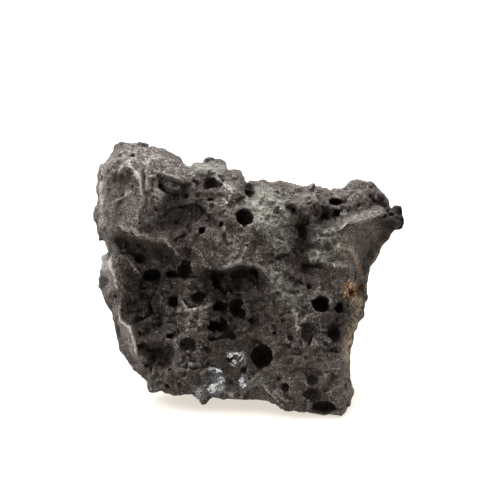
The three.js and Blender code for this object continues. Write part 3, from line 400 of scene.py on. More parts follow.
# %% The face as a map of heights
def blurred(heights, width):
    """Heights blurred by a bell curve of a width in mm, worked out on their waves."""
    turns = np.hypot(*np.meshgrid(*(np.fft.fftfreq(len(a), VOXEL) for a in flat_axes), indexing="ij"))
    return np.fft.ifft2(np.fft.fft2(heights) * np.exp(-2 * (np.pi * width * turns) ** 2)).real


SHAKE = ((3.2, 0.2, 11, 21), (1.2, 0.14, 12, 22))  # wavelength and size in mm, and two seeds
SOFTENED = 0.25  # blur of the heights, mm
shaken_x, shaken_up = np.meshgrid(across, upward, indexing="ij")
shaken_x, shaken_up = shaken_x.astype(float), shaken_up.astype(float)
for wavelength, size, seed_x, seed_up in SHAKE:
    shaken_x += size * smooth_noise(flat_axes, wavelength, seed_x)
    shaken_up += size * smooth_noise(flat_axes, wavelength, seed_up)
rim_distance, rim_height = outline_distance(shaken_x, shaken_up)
face_height = facet_heights(shaken_x, shaken_up)
face_height = np.where(np.isnan(face_height), rim_height, face_height)
face_height = blurred(face_height, SOFTENED)
print("face height, mm:", face_height.min().round(1), "to", face_height.max().round(1))

# %% [markdown]
# ## Edges of the break
#
# Some edges of a real break are sharp for centimetres: rock stands on one side and steps back on
# the other, and the crest is rubbed pale. The facets alone would leave them blunt. Each edge is a
# bent line here, and every place near one learns how far away the line is and on which side.

# %% Where the sharp edges run
# Edges of the break, walked with the lower ground on the right hand: places, how far the rock
# steps back, over what distance the step dies away, how pale the edge is worn, and its width.
EDGES = (
    (  # right ridge of the upper left block
        ((-18, 31.8), (-18, 34.2), (-17.8, 36.2), (-18, 37.8), (-18.2, 39.3), (-18.7, 40.5),
         (-19.2, 41.7), (-19.8, 42.8)),
        0.5, 2.5, 0.8, 0.22,
    ),
    (((-18.2, 39.3), (-18.7, 40.5), (-19, 41.3)), 0, 1, 1.6, 0.4),  # its bright shoulder
    (((-19.8, 42.7), (-20.5, 42.2), (-21.2, 40.8)), 0.15, 1, 0.6, 0.22),  # branch of the ridge
    (  # crease across the block
        ((-19.3, 37.8), (-20.3, 37), (-21.5, 36.3), (-22.5, 35.7)),
        0.15, 1, 1, 0.22,
    ),
    (((-21.3, 37.8), (-21.3, 36.3)), 0, 1, 0.6, 0.22),  # short crease
    (  # lower edge of the block
        ((-21.8, 31.7), (-20.3, 31.3), (-19.3, 31), (-18.3, 30.8), (-17, 30.2), (-15.8, 29.8),
         (-14.5, 29.7), (-13.3, 29.2), (-12.5, 28.2), (-11.3, 26.8)),
        0.85, 2.4, 1.4, 0.22,
    ),
    (((-19.3, 31), (-18.3, 30.8), (-17, 30.2)), 0, 1, 1.3, 0.5),  # its bright stretch
    (  # left rim of the dark recess
        ((-13.8, 36.2), (-14.7, 37.2), (-15, 38), (-15, 39.3), (-15.5, 40), (-16.5, 40.3)),
        0.6, 1.5, 1.2, 0.22,
    ),
    (  # upper rim of the dark recess
        ((-15.2, 40), (-14.2, 40), (-13.2, 39.5), (-12.3, 38.8), (-11, 38.5), (-10, 39.3),
         (-9.2, 40.2)),
        0.35, 2.2, 0, 0.22,
    ),
    (  # lip of the ledge
        ((-10, 28.3), (-8.5, 27.2), (-7.8, 26.2), (-7, 25.2), (-5.7, 25.1), (-4.3, 25.2),
         (-3, 25.3), (-1.5, 25.5), (0, 25.6), (1.3, 25.3), (2.3, 24.5), (3.2, 23.3), (4.2, 21.8),
         (5.3, 20.5), (6, 19.2)),
        0.75, 1, 1.3, 0.22,
    ),
    (((-2.8, 25.8), (-1.8, 26), (-0.7, 25.8)), 0, 1, 1.2, 0.35),  # bright tip of the ledge
    (((-1.7, 26.2), (-1.2, 27.2), (-0.7, 28.2), (-0.3, 29.2)), 0, 1, 1, 0.26),  # rising from the tip
    (  # edge left of the slope below the block
        ((-18.3, 23.8), (-19.2, 24.8), (-19.8, 25.8), (-20.5, 26.8), (-20.7, 27.8), (-21, 29.5)),
        0.6, 1.5, 0.9, 0.22,
    ),
    (  # line of the left flank
        ((-21.8, 21.2), (-22.5, 22.3), (-22.7, 23.7), (-23, 24.8), (-23, 26.5)),
        0.2, 1.2, 0.9, 0.22,
    ),
    (  # edge above the left foot
        ((-18.7, 10.7), (-18.8, 12.5), (-19.3, 13.8), (-19.8, 15), (-20.7, 15.8), (-21.5, 16.7),
         (-21.8, 17.7), (-21.5, 18.5)),
        0.9, 1.5, 1.4, 0.22,
    ),
    (  # shelf over the row of bubbles
        ((-18.2, 24.6), (-16.7, 24.6), (-15, 24.7), (-13, 24.8)),
        0.7, 0.9, 0.5, 0.22,
    ),
    (  # rim of the speckled patch
        ((-7.5, 18.6), (-9, 18.2), (-10.3, 18.2), (-11, 19), (-11.5, 20)),
        0.6, 1.4, 1, 0.22,
    ),
    (((-8.7, 18.2), (-8, 18.2)), 0, 1, 1.8, 0.26),  # white grain of that rim
    (((-4.7, 22.3), (-4, 21), (-3.2, 20)), 0.4, 1, 0.8, 0.22),  # rib beside the tall bubble
    (((-7.2, 18.3), (-6.7, 18.8), (-6, 19)), 0.3, 0.8, 1.5, 0.22),  # rim over the split bubble
    (((7, 17.8), (7.8, 16.5), (8.3, 15.2), (9, 15.9), (9.7, 16.2)), 0.3, 0.8, 1.5, 0.22),  # y-shaped rib
    (  # lower edge of the wing's strip
        ((15.5, 31.3), (17, 31.9), (18.3, 32.4), (20.3, 33), (22.2, 33.7), (23.3, 34.2)),
        0.7, 3, 0.5, 0.22,
    ),
    (((16.7, 29), (17.2, 27.7), (17.7, 26.5), (18.2, 25.5)), 0, 1, 0.9, 0.22),  # edge beside the flank
    (  # pale ring of a small bubble
        ((10.3, 27.5), (11.2, 28), (11.7, 27.5), (11.5, 26.7), (10.5, 26.5), (10.2, 27),
         (10.3, 27.5)),
        0, 1, 1.5, 0.22,
    ),
    (  # pale rims of the small pits
        ((14.5, 28.8), (15.5, 28.7), (16.7, 28.4), (17.2, 27.8)),
        0.2, 0.8, 1.4, 0.22,
    ),
    (((14, 25.8), (15.2, 25.5), (16.3, 25.3)), 0.2, 0.8, 1.5, 0.22),  # pale streaks below them
    (  # edge right of the middle peak
        ((-5.2, 40.2), (-4.3, 39.3), (-3.5, 38.5), (-2.8, 37.7)),
        0.4, 1.2, 0.9, 0.26,
    ),
    (((-4.7, 36.7), (-4, 36.2)), 0, 1, 2, 0.26),  # bright grain below the peak
    (((-4, 4.5), (-3.3, 3.8), (-2.5, 3.2)), 0, 1, 1.2, 0.22),  # streak at the foot
    (((2, 5.2), (2.7, 4.3), (3.5, 3.5), (4.5, 2.8)), 0.3, 0.8, 1.4, 0.22),  # greenish rib at the foot
    (((3.7, 4.5), (5, 3.8), (6.7, 3.2)), 0.2, 0.8, 0.8, 0.22),  # second rib at the foot
    (  # left edge of the block
        ((-24.2, 41.8), (-24.4, 39.8), (-24.6, 37.5), (-24.6, 35.2), (-24.3, 33.3), (-23.7, 31.8)),
        1.3, 0.8, 0.6, 0.22,
    ),
    (((-4.3, 31.7), (-3.8, 30.7), (-3.3, 29.3)), 0, 1, 0.9, 0.22),  # ribs of the middle
    (((-2.8, 30.3), (-2, 29.8), (-1.7, 29.3)), 0, 1, 0.9, 0.22),  # second rib of the middle
    (((4.3, 27.3), (4.5, 25.8)), 0.2, 0.8, 1.2, 0.22),  # rib of the right of the middle
    (((3, 29), (3.8, 28), (4.3, 27)), 0.5, 0.6, 0, 0.22),  # curved groove
    (((8.8, 22.8), (8, 22), (7.2, 21.2)), 0.3, 0.4, -1.2, 0.22),  # thin crack
    (((-23.3, 29), (-23.2, 27.7), (-23.2, 26.3)), 0.4, 0.5, -1.6, 0.22),  # crack of the left flank
)
print("edges:", len(EDGES))


# %% Distance to an edge
def line_distance(x, up, line):
    """Distance from each place to a bent line, whether the place is on the line's right hand, and
    how far its nearest point of the line is from the nearer end."""
    nearest = np.full(x.shape, np.inf)
    right, along = np.zeros(x.shape, bool), np.zeros(x.shape)
    walked = 0.0
    for (ax, au), (bx, bu) in zip(line, line[1:]):
        dx, du = bx - ax, bu - au
        length = math.hypot(dx, du)
        t = np.clip(((x - ax) * dx + (up - au) * du) / length**2, 0, 1)
        gap = np.hypot(x - ax - t * dx, up - au - t * du)
        closer = gap < nearest
        nearest[closer] = gap[closer]
        right[closer] = ((x - ax) * du > (up - au) * dx)[closer]
        along[closer] = (walked + t * length)[closer]
        walked += length
    return nearest, right, np.minimum(along, walked - along)


print("from (1, 1) to an upright line:", line_distance(np.ones(1), np.ones(1), ((0, 0), (0, 3))))

# %% Steps along the edges
END_STRENGTH, END_FADE = 0.3, 0.9  # how strong an edge is at its ends, and mm over which it gains 1
FALLS = 4  # a step is followed for this many times the distance over which it dies away
PALE_CORE = 0.5  # an edge is palest up to this many times its width away
LIP = (0.15, 0.45)  # a crest's own rise as a share of its step, and its width in mm
edge_map = np.zeros(shaken_x.shape)
for line, step, fall, paleness, width in EDGES:
    away, low_side, to_end = line_distance(shaken_x, shaken_up, line)
    strength = np.clip(END_STRENGTH + to_end / END_FADE, 0, 1)
    drop = -step * np.exp(-away / fall)
    crest = LIP[0] * step * np.exp(-away / LIP[1])
    face_height += strength * np.where(low_side, drop, crest) * (away < FALLS * fall)
    worn_line = paleness * strength * np.clip(1 + PALE_CORE - away / width, 0, 1)
    edge_map = np.where(np.abs(worn_line) > np.abs(edge_map), worn_line, edge_map)
print("paleness of the edges:", edge_map.min().round(1), "to", edge_map.max().round(1))

# %% [markdown]
# ## Crumbs of the break
#
# Frothy basalt breaks from bubble to bubble, so its face is crumbly: little blocks of rock tip
# every way, with steps between them. A noise texture would only make soft hills. Here the face
# is parted into small cells, each a flat bit of rock with a tilt and a height of its own. How
# strong this is differs from place to place: some stretches broke clean, others are rubble.

# %% A soft patch of the face
def patch(x, up, middle, half, turn=0.0, soft=0.35):
    """1 inside a turned ellipse on the face, 0 outside, with a soft edge."""
    c, s = math.cos(math.radians(turn)), math.sin(math.radians(turn))
    dx, du = x - middle[0], up - middle[1]
    reach = np.hypot((c * dx + s * du) / half[0], (-s * dx + c * du) / half[1])
    return np.clip((1 + soft - reach) / (2 * soft), 0, 1)


print("a patch at 0, 1 and 2 half sizes:", patch(np.arange(3.0), 0.0, (0, 0), (1, 1)))

# %% Where the outline or the face stands further out than the points say
# The outline: middle, half sizes, mm.
RIM_SHIFTS = (
    ((-21.9, 13.5), (1.8, 4.0), 0.55), ((22.2, 37.3), (2.5, 2.5), 0.45),
    ((25.4, 33.8), (1.5, 2.2), 0.7), ((-18.5, 45.8), (2.5, 1.0), 0.35),
    ((19.8, 21.8), (1.0, 2.4), 0.4), ((-7.0, 42.9), (1.2, 0.9), 0.3),
    ((-24.3, 28.5), (0.9, 1.3), -0.6), ((18.2, 13.5), (0.8, 4.0), -0.25),
    ((-10.8, 2.9), (2.4, 0.7), -0.7),
)
for middle, half, shift in RIM_SHIFTS:
    rim_distance -= shift * patch(flat_x, flat_up, middle, half)

# The face: middle, half sizes, turn, mm.
SWELLS = (
    ((-13.1, 38.9), (2.1, 1.2), -20, 2.5), ((-15.4, 9.8), (1.6, 1.6), 0, 0.7),
    ((-17.2, 17.2), (2.3, 2.0), 0, 0.95), ((-9.0, 21.9), (1.3, 1.1), 0, 0.4),
    ((-14.0, 36.0), (1.6, 1.2), 0, 0.4),
)
for middle, half, turn, rise in SWELLS:
    face_height += rise * patch(flat_x, flat_up, middle, half, turn)
print("shifts of the outline:", len(RIM_SHIFTS), "swells of the face:", len(SWELLS))

# %% How rough each stretch of the face is
# Middle, half sizes, turn, and the roughness there.
STRETCHES = (
    ((-21.0, 34.5), (3.2, 5.5), 0, 0.25), ((-14.5, 42.0), (5.0, 2.6), -25, 0.3),
    ((-12.5, 36.8), (2.6, 2.6), 0, 0.5), ((19.8, 27.6), (4.2, 5.2), -25, 0.15),
    ((19.4, 33.2), (4.6, 1.8), 10, 0.15), ((17.6, 37.6), (3.4, 1.6), 0, 0.6),
    ((-24.0, 23.0), (1.6, 3.5), 0, 0.4), ((-20.5, 12.0), (2.0, 4.5), 15, 0.4),
    ((-1.0, 30.5), (4.5, 4.0), 0, 0.7), ((-12.5, 15.0), (7.5, 7.5), 0, 1.25),
    ((9.5, 33.5), (6.0, 4.0), 0, 1.3), ((-4.0, 17.0), (4.5, 4.0), 0, 1.3),
    ((2.25, 10.05), (2.3, 2.3), 0, 0.35), ((11.7, 18.7), (1.9, 1.8), 0, 0.4),
    ((-1.0, 32.9), (2.0, 2.0), 0, 0.5), ((24.9, 33.3), (1.2, 2.0), 0, 3.0),
)
roughness_map = np.ones((len(across), len(upward)))
for middle, half, turn, rough in STRETCHES:
    roughness_map *= 1 + (rough - 1) * patch(flat_x, flat_up, middle, half, turn)
print("roughness:", roughness_map.min().round(2), "to", roughness_map.max().round(2))

# %% Crumbs
def crumbs(x, up, spacing, tilt, step, seed):
    """Height of the flat bit of rock that each place is on: its own step plus its own tilt times
    the offset from its middle. A place belongs to the random middle nearest to it."""
    rng = np.random.default_rng(seed)
    cell_x, cell_up = np.floor(x / spacing).astype(int), np.floor(up / spacing).astype(int)
    low = np.array([cell_x.min() - 1, cell_up.min() - 1])
    shape = (cell_x.max() - low[0] + 2, cell_up.max() - low[1] + 2)
    middles = rng.random((*shape, 2))
    draws = rng.standard_normal((*shape, 3))
    nearest = np.full(x.shape, np.inf)
    height = np.zeros(x.shape)
    for step_x, step_up in np.ndindex(3, 3):
        i, j = cell_x - low[0] + step_x - 1, cell_up - low[1] + step_up - 1
        dx = x - (i + low[0] + middles[i, j, 0]) * spacing
        du = up - (j + low[1] + middles[i, j, 1]) * spacing
        closer = dx * dx + du * du < nearest
        nearest = np.where(closer, dx * dx + du * du, nearest)
        tipped = tilt * (dx * draws[i, j, 0] + du * draws[i, j, 1]) + step * draws[i, j, 2]
        height = np.where(closer, tipped, height)
    return height


# %% Crumbs in the heights of the face
# Spacing in mm, tilt, step in mm, seed.
CRUMBS = ((4.2, 0.12, 0.2, 31), (2.1, 0.16, 0.14, 32), (1.1, 0.19, 0.08, 33), (0.6, 0.2, 0.04, 34))
CRUMB_BLUR, MOST_RELIEF = 0.09, 1.8  # mm
RIM_SHARE, RIM_WIDTH = 0.15, 2.0  # size of crumbs at the rim, and mm inside where they are whole
rim_calm = np.clip(-rim_distance / RIM_WIDTH, RIM_SHARE, 1)
relief = sum(crumbs(shaken_x, shaken_up, *crumb) for crumb in CRUMBS)
relief = np.clip(blurred(relief, CRUMB_BLUR), -MOST_RELIEF, MOST_RELIEF)
face_height += relief * roughness_map * rim_calm
print("crumbs, mm:", relief.std().round(2))

# %% [markdown]
# ## Taking rock away
#
# A surface is added by keeping the larger of two numbers: what is air for either is air. A
# smooth maximum rounds the edge between them by a few tenths of a millimetre, as handling does.

# %% Helpers that take rock away
x3, up3, out3 = across[:, None, None], upward[None, :, None], outward[None, None, :]


def soft_max(a, b, round_mm):
    """The larger of two arrays, rounded over where they come within round_mm of each other."""
    blend = np.maximum(round_mm - np.abs(a - b), 0)
    return np.maximum(a, b) + blend * blend / (4 * round_mm)


def ellipsoid_reach(places, middle, half):
    """Distance from the middle of an ellipsoid as a share of the distance to its surface."""
    return np.sqrt(sum(((p - m) / h) ** 2 for p, m, h in zip(places, middle, half)))


print("a square edge rounded over 1 mm, mm:", soft_max(0.0, 0.0, 1.0))

# %% The bare lump
RIM_ROUND, BREAK_ROUND = 0.5, 0.8  # mm
STEEPEST = 4  # a steeper slope of the face counts as this
slope = np.hypot(*np.gradient(face_height, VOXEL))
steepness = np.sqrt(1 + np.minimum(slope, STEEPEST) ** 2).astype(np.float32)
field = (out3 - face_height[:, :, None].astype(np.float32)) / steepness[:, :, None]
field = soft_max(field, rim_distance[:, :, None].astype(np.float32), RIM_ROUND)
for at, faces in BREAKS:
    faces = np.array(faces) / np.linalg.norm(faces)
    beyond = sum(f * (p - a) for f, p, a in zip(faces, (x3, up3, out3), at))
    field = soft_max(field, beyond.astype(np.float32), BREAK_ROUND)
for middle, half in SCALLOPS:
    reach = ellipsoid_reach((x3, up3, out3), middle, half)
    field = soft_max(field, ((1 - reach) * min(half)).astype(np.float32), BREAK_ROUND)
print("bare lump, cm3:", round(float((field < 0).sum()) * VOXEL**3 / 1000, 1))

# %% [markdown]
# ## Chips
#
# Shallow bowls of two sizes are bitten out of every surface: bowl middles are strewn through the
# block, and the deepest bowl in reach says how much rock is gone. Neighbouring bowls meet in
# sharp little ridges. The sides and the back broke in blocks as well, so there the crumbs of the
# face come again, this time as cells of space instead of cells of a plane.

# %% Sizes of the chips, the grit and the side blocks
CHIPS = ((2.6, 0.2, 0.1, 35), (1.15, 0.09, 0.1, 36))  # spacing, depth, tilt, seed
GRIT = ((0.9, 0.05, 41), (0.5, 0.045, 42))  # wavelength, size, seed
# Blocks of the sides and back: spacing, tilt, step, seed.
SIDE_BLOCKS = ((7.5, 0.15, 0.3, 37), (3.2, 0.17, 0.17, 38), (1.4, 0.17, 0.08, 39))
SIDE_STARTS, SIDE_FULL = 2.0, 6.5  # mm behind the face where they begin, and are at full size
SIDE_LOSS = 0.12  # mm of rock that the sides and back lose all over
MOST_BUILT = (0.8, 0.25)  # mm of rock that may be built up, at the face and at the back
MOST_TAKEN = (0.8, 1.05)  # mm of rock that may be taken, likewise
MARGIN = 0.15  # a random middle keeps this share of its cell away from the cell's walls
print("chips, mm:", [c[0] for c in CHIPS], "blocks, mm:", [b[0] for b in SIDE_BLOCKS])


# %% The random middles near a point
def near_middles(points, spacing, seed):
    """One random middle in each cell of a lattice. Yields, for each of the 8 cells around every
    point, the offset from that cell's middle to the point, and the cell's four random draws."""
    rng = np.random.default_rng(seed)
    cells = np.floor(points / spacing - 0.5).astype(np.int32)
    low = cells.min(axis=0)
    shape = cells.max(axis=0) - low + 2
    middles = MARGIN + (1 - 2 * MARGIN) * rng.random((*shape, 3), dtype=np.float32)
    middles = (middles + np.stack(np.indices(shape), -1) + low).reshape(-1, 3) * spacing
    draws = rng.standard_normal((len(middles), 4), dtype=np.float32)
    middles = middles.astype(np.float32)
    for move in np.ndindex(2, 2, 2):
        index = np.ravel_multi_index(tuple((cells - low + np.array(move)).T), shape)
        yield points - middles[index], draws[index]


# %% Chips and blocks at a point
def chip_depth(points, spacing, depth, tilt, seed):
    """Rock taken by the chips near each point: the largest of depth minus a bowl's rise with
    distance plus a random tilt, over the chip middles around it."""
    taken = np.full(len(points), -9.0, np.float32)
    for offset, draws in near_middles(points, spacing, seed):
        bowl = depth - np.einsum("ij,ij->i", offset, offset) * np.float32(2 * depth / spacing**2)
        tipped = np.einsum("ij,ij->i", offset, draws[:, :3]) * np.float32(tilt)
        np.maximum(taken, bowl + tipped, out=taken)
    return taken


def block_height(points, spacing, tilt, step, seed):
    """Height of the block of rock each point is in: its own step plus its own tilt times the
    offset from its middle. A point belongs to the nearest of the random middles around it."""
    nearest = np.full(len(points), np.inf, np.float32)
    height = np.zeros(len(points), np.float32)
    for offset, draws in near_middles(points, spacing, seed):
        away = np.einsum("ij,ij->i", offset, offset)
        tipped = np.einsum("ij,ij->i", offset, draws[:, :3]) * np.float32(tilt)
        height = np.where(away < nearest, tipped + np.float32(step) * draws[:, 3], height)
        np.minimum(nearest, away, out=nearest)
    return height


# %% Chipping the lump
REACH = 1.1  # only cells this near the surface are changed
near_surface = np.nonzero(np.abs(field) < REACH)
places = np.column_stack([axis[i] for axis, i in zip(AXES, near_surface)]).astype(np.float32)
taken = np.zeros(len(places), np.float32)
for spacing, depth, tilt, seed in CHIPS:
    chip = chip_depth(places, spacing, depth, tilt, seed)
    taken += chip - chip.mean()
taken *= roughness_map[near_surface[0], near_surface[1]].astype(np.float32)
for wavelength, size, seed in GRIT:
    taken += size * smooth_noise(AXES, wavelength, seed)[near_surface]
behind = face_height[near_surface[:2]] - places[:, 2]
behind = np.clip((behind - SIDE_STARTS) / (SIDE_FULL - SIDE_STARTS), 0, 1).astype(np.float32)
at_side = behind > 0
for spacing, tilt, step, seed in SIDE_BLOCKS:
    taken[at_side] += behind[at_side] * block_height(places[at_side], spacing, tilt, step, seed)
taken += SIDE_LOSS * behind
built, gone = (most[0] + (most[1] - most[0]) * behind for most in (MOST_BUILT, MOST_TAKEN))
field[near_surface] += np.clip(taken, -built, gone)
print("cells near the surface:", len(places), "chips, mm:", taken.std().round(2))

# %% [markdown]
# ## Gas bubbles
#
# The large bubbles are where they are on the real lump. A bubble is an ellipsoid whose middle
# lies a little below the face, so its mouth is round and its inside stays dark. Hundreds of
# smaller ones are strewn at random, many small and few large, as in any froth.

# %% Carving a bubble
RAGGED_SIZE, MOST_RAGGED = 1.1, 2  # mm, and the most that the noise counts
MOUTH_BLUR = 0.9  # mm, over which the face's height is evened out to seat a bubble
WINDOW, CARVED = 1.6, 1.15  # cells looked at, and changed, in half sizes of the bubble
ragged = np.clip(smooth_noise(AXES, RAGGED_SIZE, 51), -MOST_RAGGED, MOST_RAGGED)
even_height = blurred(face_height, MOUTH_BLUR)


def carve(middle, half, wobble):
    """Takes an ellipsoid out of the field, in the cells around it only. Its reach in each
    direction is stretched by a share of the noise there, so that no bubble is quite round."""
    window = tuple(
        slice(*np.searchsorted(axis, (m - WINDOW * h - VOXEL, m + WINDOW * h + VOXEL)))
        for axis, m, h in zip(AXES, middle, half)
    )
    local = [axis[w] for axis, w in zip(AXES, window)]
    reach = ellipsoid_reach(np.ix_(*local), middle, half) * (1 + wobble * ragged[window])
    emptied = (1 - reach) * min(half)
    field[window] = np.where(reach < CARVED, np.maximum(field[window], emptied), field[window])


def face_at(x, up):
    """Evened height of the face at a place on it, from the nearest cell."""
    return float(even_height[np.searchsorted(across, x), np.searchsorted(upward, up)])


print("evened height in the middle of the face, mm:", round(face_at(0, 20), 2))

# %% Large bubbles, and the seats of the crystals
BUBBLE_WOBBLE, SEAT_WOBBLE = 0.05, 0.25
SHALLOW, DEEP = (0.2, 1.0), (0.55, 1.2)  # how far the middle is sunk, and the bulge below
DEEP_FROM = 1.15  # depth over mean half width from which a bubble is a deep one
SEAT_RAISED, SEAT_MARGIN = 0.45, 1.05  # height over the face, and size, in its piece's half sizes
sunk_bubbles = []
for x, up, half_width, half_height, depth in BUBBLES:
    sinking, bulge = DEEP if depth > DEEP_FROM * math.sqrt(half_width * half_height) else SHALLOW
    middle = (x, up, face_at(x, up) - sinking * depth)
    half = (half_width * bulge, half_height * bulge, depth)
    sunk_bubbles.append((middle, half))
    carve(middle, half, BUBBLE_WOBBLE)
for _, (x, up), half in CLUSTERS:
    seat = (x, up, face_at(x, up) + SEAT_RAISED * half[2])
    carve(seat, [h * SEAT_MARGIN for h in half], SEAT_WOBBLE)
print("large bubbles:", len(sunk_bubbles), "seats:", len(CLUSTERS))

# %% Small bubbles, strewn
rng = np.random.default_rng(61)
TRIES = 30000
SMALLEST, LARGEST = 0.16, 0.6  # mm
FROTH = 2.2  # the higher this power, the fewer large ones
BACK_GROWTH, BACK_FROM = 0.9, 4.0  # share by which they grow, from so many mm behind the face
OPEN = (-0.2, 0.75)  # a bubble is open if its middle is so deep in the rock, in its radii
CLEAR, CLEAR_MM = 1.3, 0.3  # a large one, so many mm and then times larger, is kept clear
STRETCH, SMALL_WOBBLE = (0.75, 1.3), 0.1
spots = np.column_stack([rng.uniform(axis[0], axis[-1], TRIES) for axis in AXES])
radii = SMALLEST * (LARGEST / SMALLEST) ** (rng.random(TRIES) ** FROTH)
index = tuple(np.clip(np.searchsorted(a, s), 0, len(a) - 1) for a, s in zip(AXES, spots.T))
far_behind = (face_height[index[:2]] - spots[:, 2] - BACK_FROM) / BACK_FROM
radii *= 1 + BACK_GROWTH * np.clip(far_behind, 0, 1)
depth_below = -field[index] / radii
chosen = (depth_below > OPEN[0]) & (depth_below < OPEN[1])
for middle, half in sunk_bubbles:
    chosen &= ellipsoid_reach(spots.T, middle, np.array(half) + CLEAR_MM) > CLEAR
stretches = rng.uniform(*STRETCH, (TRIES, 3))
for spot, radius, stretch in zip(spots[chosen], radii[chosen], stretches):
    carve(spot, radius * stretch, SMALL_WOBBLE)
print("small bubbles:", int(chosen.sum()))

# %% [markdown]
# ## The underside
#
# The lump stands on what is flat below. Nothing may reach under the ground, so the last cut is
# level, with hollows that leave it standing on the flat between them.

# %% The ground cut
HOLLOW_ROUND, GROUND_ROUND, GROUND_DEPTH = 0.3, 0.15, 0.1  # mm
row_x3 = x3 - MIDDLE_X
row_y3 = row_y(up3, out3)
row_z3 = row_z(up3, out3)
for middle, half in UNDERSIDE_HOLLOWS:
    reach = ellipsoid_reach((row_x3, row_y3, row_z3), middle, half)
    field = soft_max(field, ((1 - reach) * min(half)).astype(np.float32), HOLLOW_ROUND)
field = soft_max(field, (-row_z3 - GROUND_DEPTH).astype(np.float32), GROUND_ROUND)
field = np.maximum(field, -row_z3.astype(np.float32))
print("lump, cm3:", round(float((field < 0).sum()) * VOXEL**3 / 1000, 1))

# %% [markdown]
# ## From cells to a surface
#
# Where the number changes sign between two cells, the surface passes between them. Each cell
# that it passes through gets one vertex, at the average of those crossings, and each crossing
# gets one quad through its four cells. Everything is done on whole arrays at once.

# %% Cells that the surface passes through
def mixed_cells(rock):
    """The cells whose eight corners are not all rock or all air, and a number for each of them."""
    shape = np.array(rock.shape) - 1
    count = np.zeros(shape, np.int8)
    for corner in np.ndindex(2, 2, 2):
        count += rock[tuple(slice(c, c + n) for c, n in zip(corner, shape))]
    mixed = np.nonzero((count > 0) & (count < 8))
    number = np.full(shape, -1, np.int32)
    number[mixed] = np.arange(len(mixed[0]))
    return np.column_stack(mixed), number


rock = field < 0
mixed, number = mixed_cells(rock)
print("cells at the surface:", len(mixed))


# %% A vertex in each of them
def mean_crossings(field, cells):
    """The mean place of the crossings on a cell's 12 edges, in cells. Along an edge whose ends
    differ in sign, the crossing is where a straight line between their values is zero."""
    total = np.zeros((len(cells), 3))
    crossings = np.zeros(len(cells))
    for axis, *step in np.ndindex(3, 2, 2):
        start = cells.copy()
        start[:, [a for a in range(3) if a != axis]] += step
        end = start.copy()
        end[:, axis] += 1
        low, high = field[tuple(start.T)], field[tuple(end.T)]
        crossed = (low < 0) != (high < 0)
        share = np.zeros(len(cells))
        share[crossed] = low[crossed] / (low[crossed] - high[crossed])
        point = start.astype(float)
        point[:, axis] += share
        total += point * crossed[:, None]
        crossings += crossed
    return total / crossings[:, None]


vertices = mean_crossings(field, mixed) * VOXEL + np.array([axis[0] for axis in AXES])
print("vertices, mm:", vertices.min(axis=0).round(1), "to", vertices.max(axis=0).round(1))


# %% A quad for each crossed edge
def crossing_quads(rock, number):
    """Four cells lie round each edge of the block. Where one of its ends is rock and the other is
    air, the four cells' vertices make a quad, turned so that it faces the air."""
    quads = []
    for axis in range(3):
        others = [a for a in range(3) if a != axis]
        ends = []
        for part in (slice(0, -1), slice(1, None)):
            inner = [slice(1, -1)] * 3
            inner[axis] = part
            ends.append(rock[tuple(inner)].astype(np.int8))
        for sign in (1, -1):
            edge = np.column_stack(np.nonzero(ends[0] - ends[1] == sign))
            edge[:, others] += 1
            ring = []
            for step in ((0, 0), (1, 0), (1, 1), (0, 1)):
                cell = edge.copy()
                cell[:, others] -= step
                ring.append(number[tuple(cell.T)])
            quad = np.column_stack(ring)
            forward = sign == (1 if axis != 1 else -1)
            quads.append(quad if forward else quad[:, ::-1])
    return np.vstack(quads)


quads = crossing_quads(rock, number)
print("quads:", len(quads))


# %% The largest shell
def largest_shell(vertices, quads):
    """Drops crumbs that hang free and sealed bubbles. Every vertex takes the lowest number among
    its neighbours until nothing changes, so that one shell ends up with one number."""
    label = np.arange(len(vertices))
    start, end = quads.ravel(), np.roll(quads, -1, axis=1).ravel()
    while True:
        lowest = np.minimum(label[start], label[end])
        spread = label.copy()
        np.minimum.at(spread, start, lowest)
        np.minimum.at(spread, end, lowest)
        spread = spread[spread]
        if np.array_equal(spread, label):
            break
        label = spread
    names, counts = np.unique(label, return_counts=True)
    print("shells:", len(names))
    kept = label == names[counts.argmax()]
    renumbered = np.cumsum(kept) - 1
    return vertices[kept], renumbered[quads[kept[quads[:, 0]]]]


vertices, quads = largest_shell(vertices, quads)
print("surface:", len(vertices), "vertices,", len(quads), "quads")

# %% [markdown]
# ## Thinning the surface
#
# The carved surface has as many faces on a smooth flank as on a chipped edge. Decimate joins
# them where the shape is flat and keeps them where it is not, which leaves one mesh that is
# light enough to share. The same tool done by hand in Edit Mode would not repeat.

# %% Making an object, and thinning it
def new_object(name, points, faces):
    """A mesh object of points in the row's frame, in metres, and faces as lists of points."""
    mesh = bpy.data.meshes.new(name)
    mesh.from_pydata(points.tolist(), [], faces)
    mesh.update()
    made = bpy.data.objects.new(name, mesh)
    bpy.context.collection.objects.link(made)
    return made


def thin(piece, faces_left, group=""):
    """Lets Decimate take faces away until so many triangles are left, from a group of vertices
    only where one is named."""
    thinning = piece.modifiers.new("thinning", "DECIMATE")
    triangles = sum(len(polygon.vertices) - 2 for polygon in piece.data.polygons)
    thinning.ratio = min(1.0, faces_left / triangles)
    thinning.vertex_group = group
    evaluated = piece.evaluated_get(bpy.context.evaluated_depsgraph_get())
    mesh = bpy.data.meshes.new_from_object(evaluated)
    piece.modifiers.clear()
    piece.data = mesh


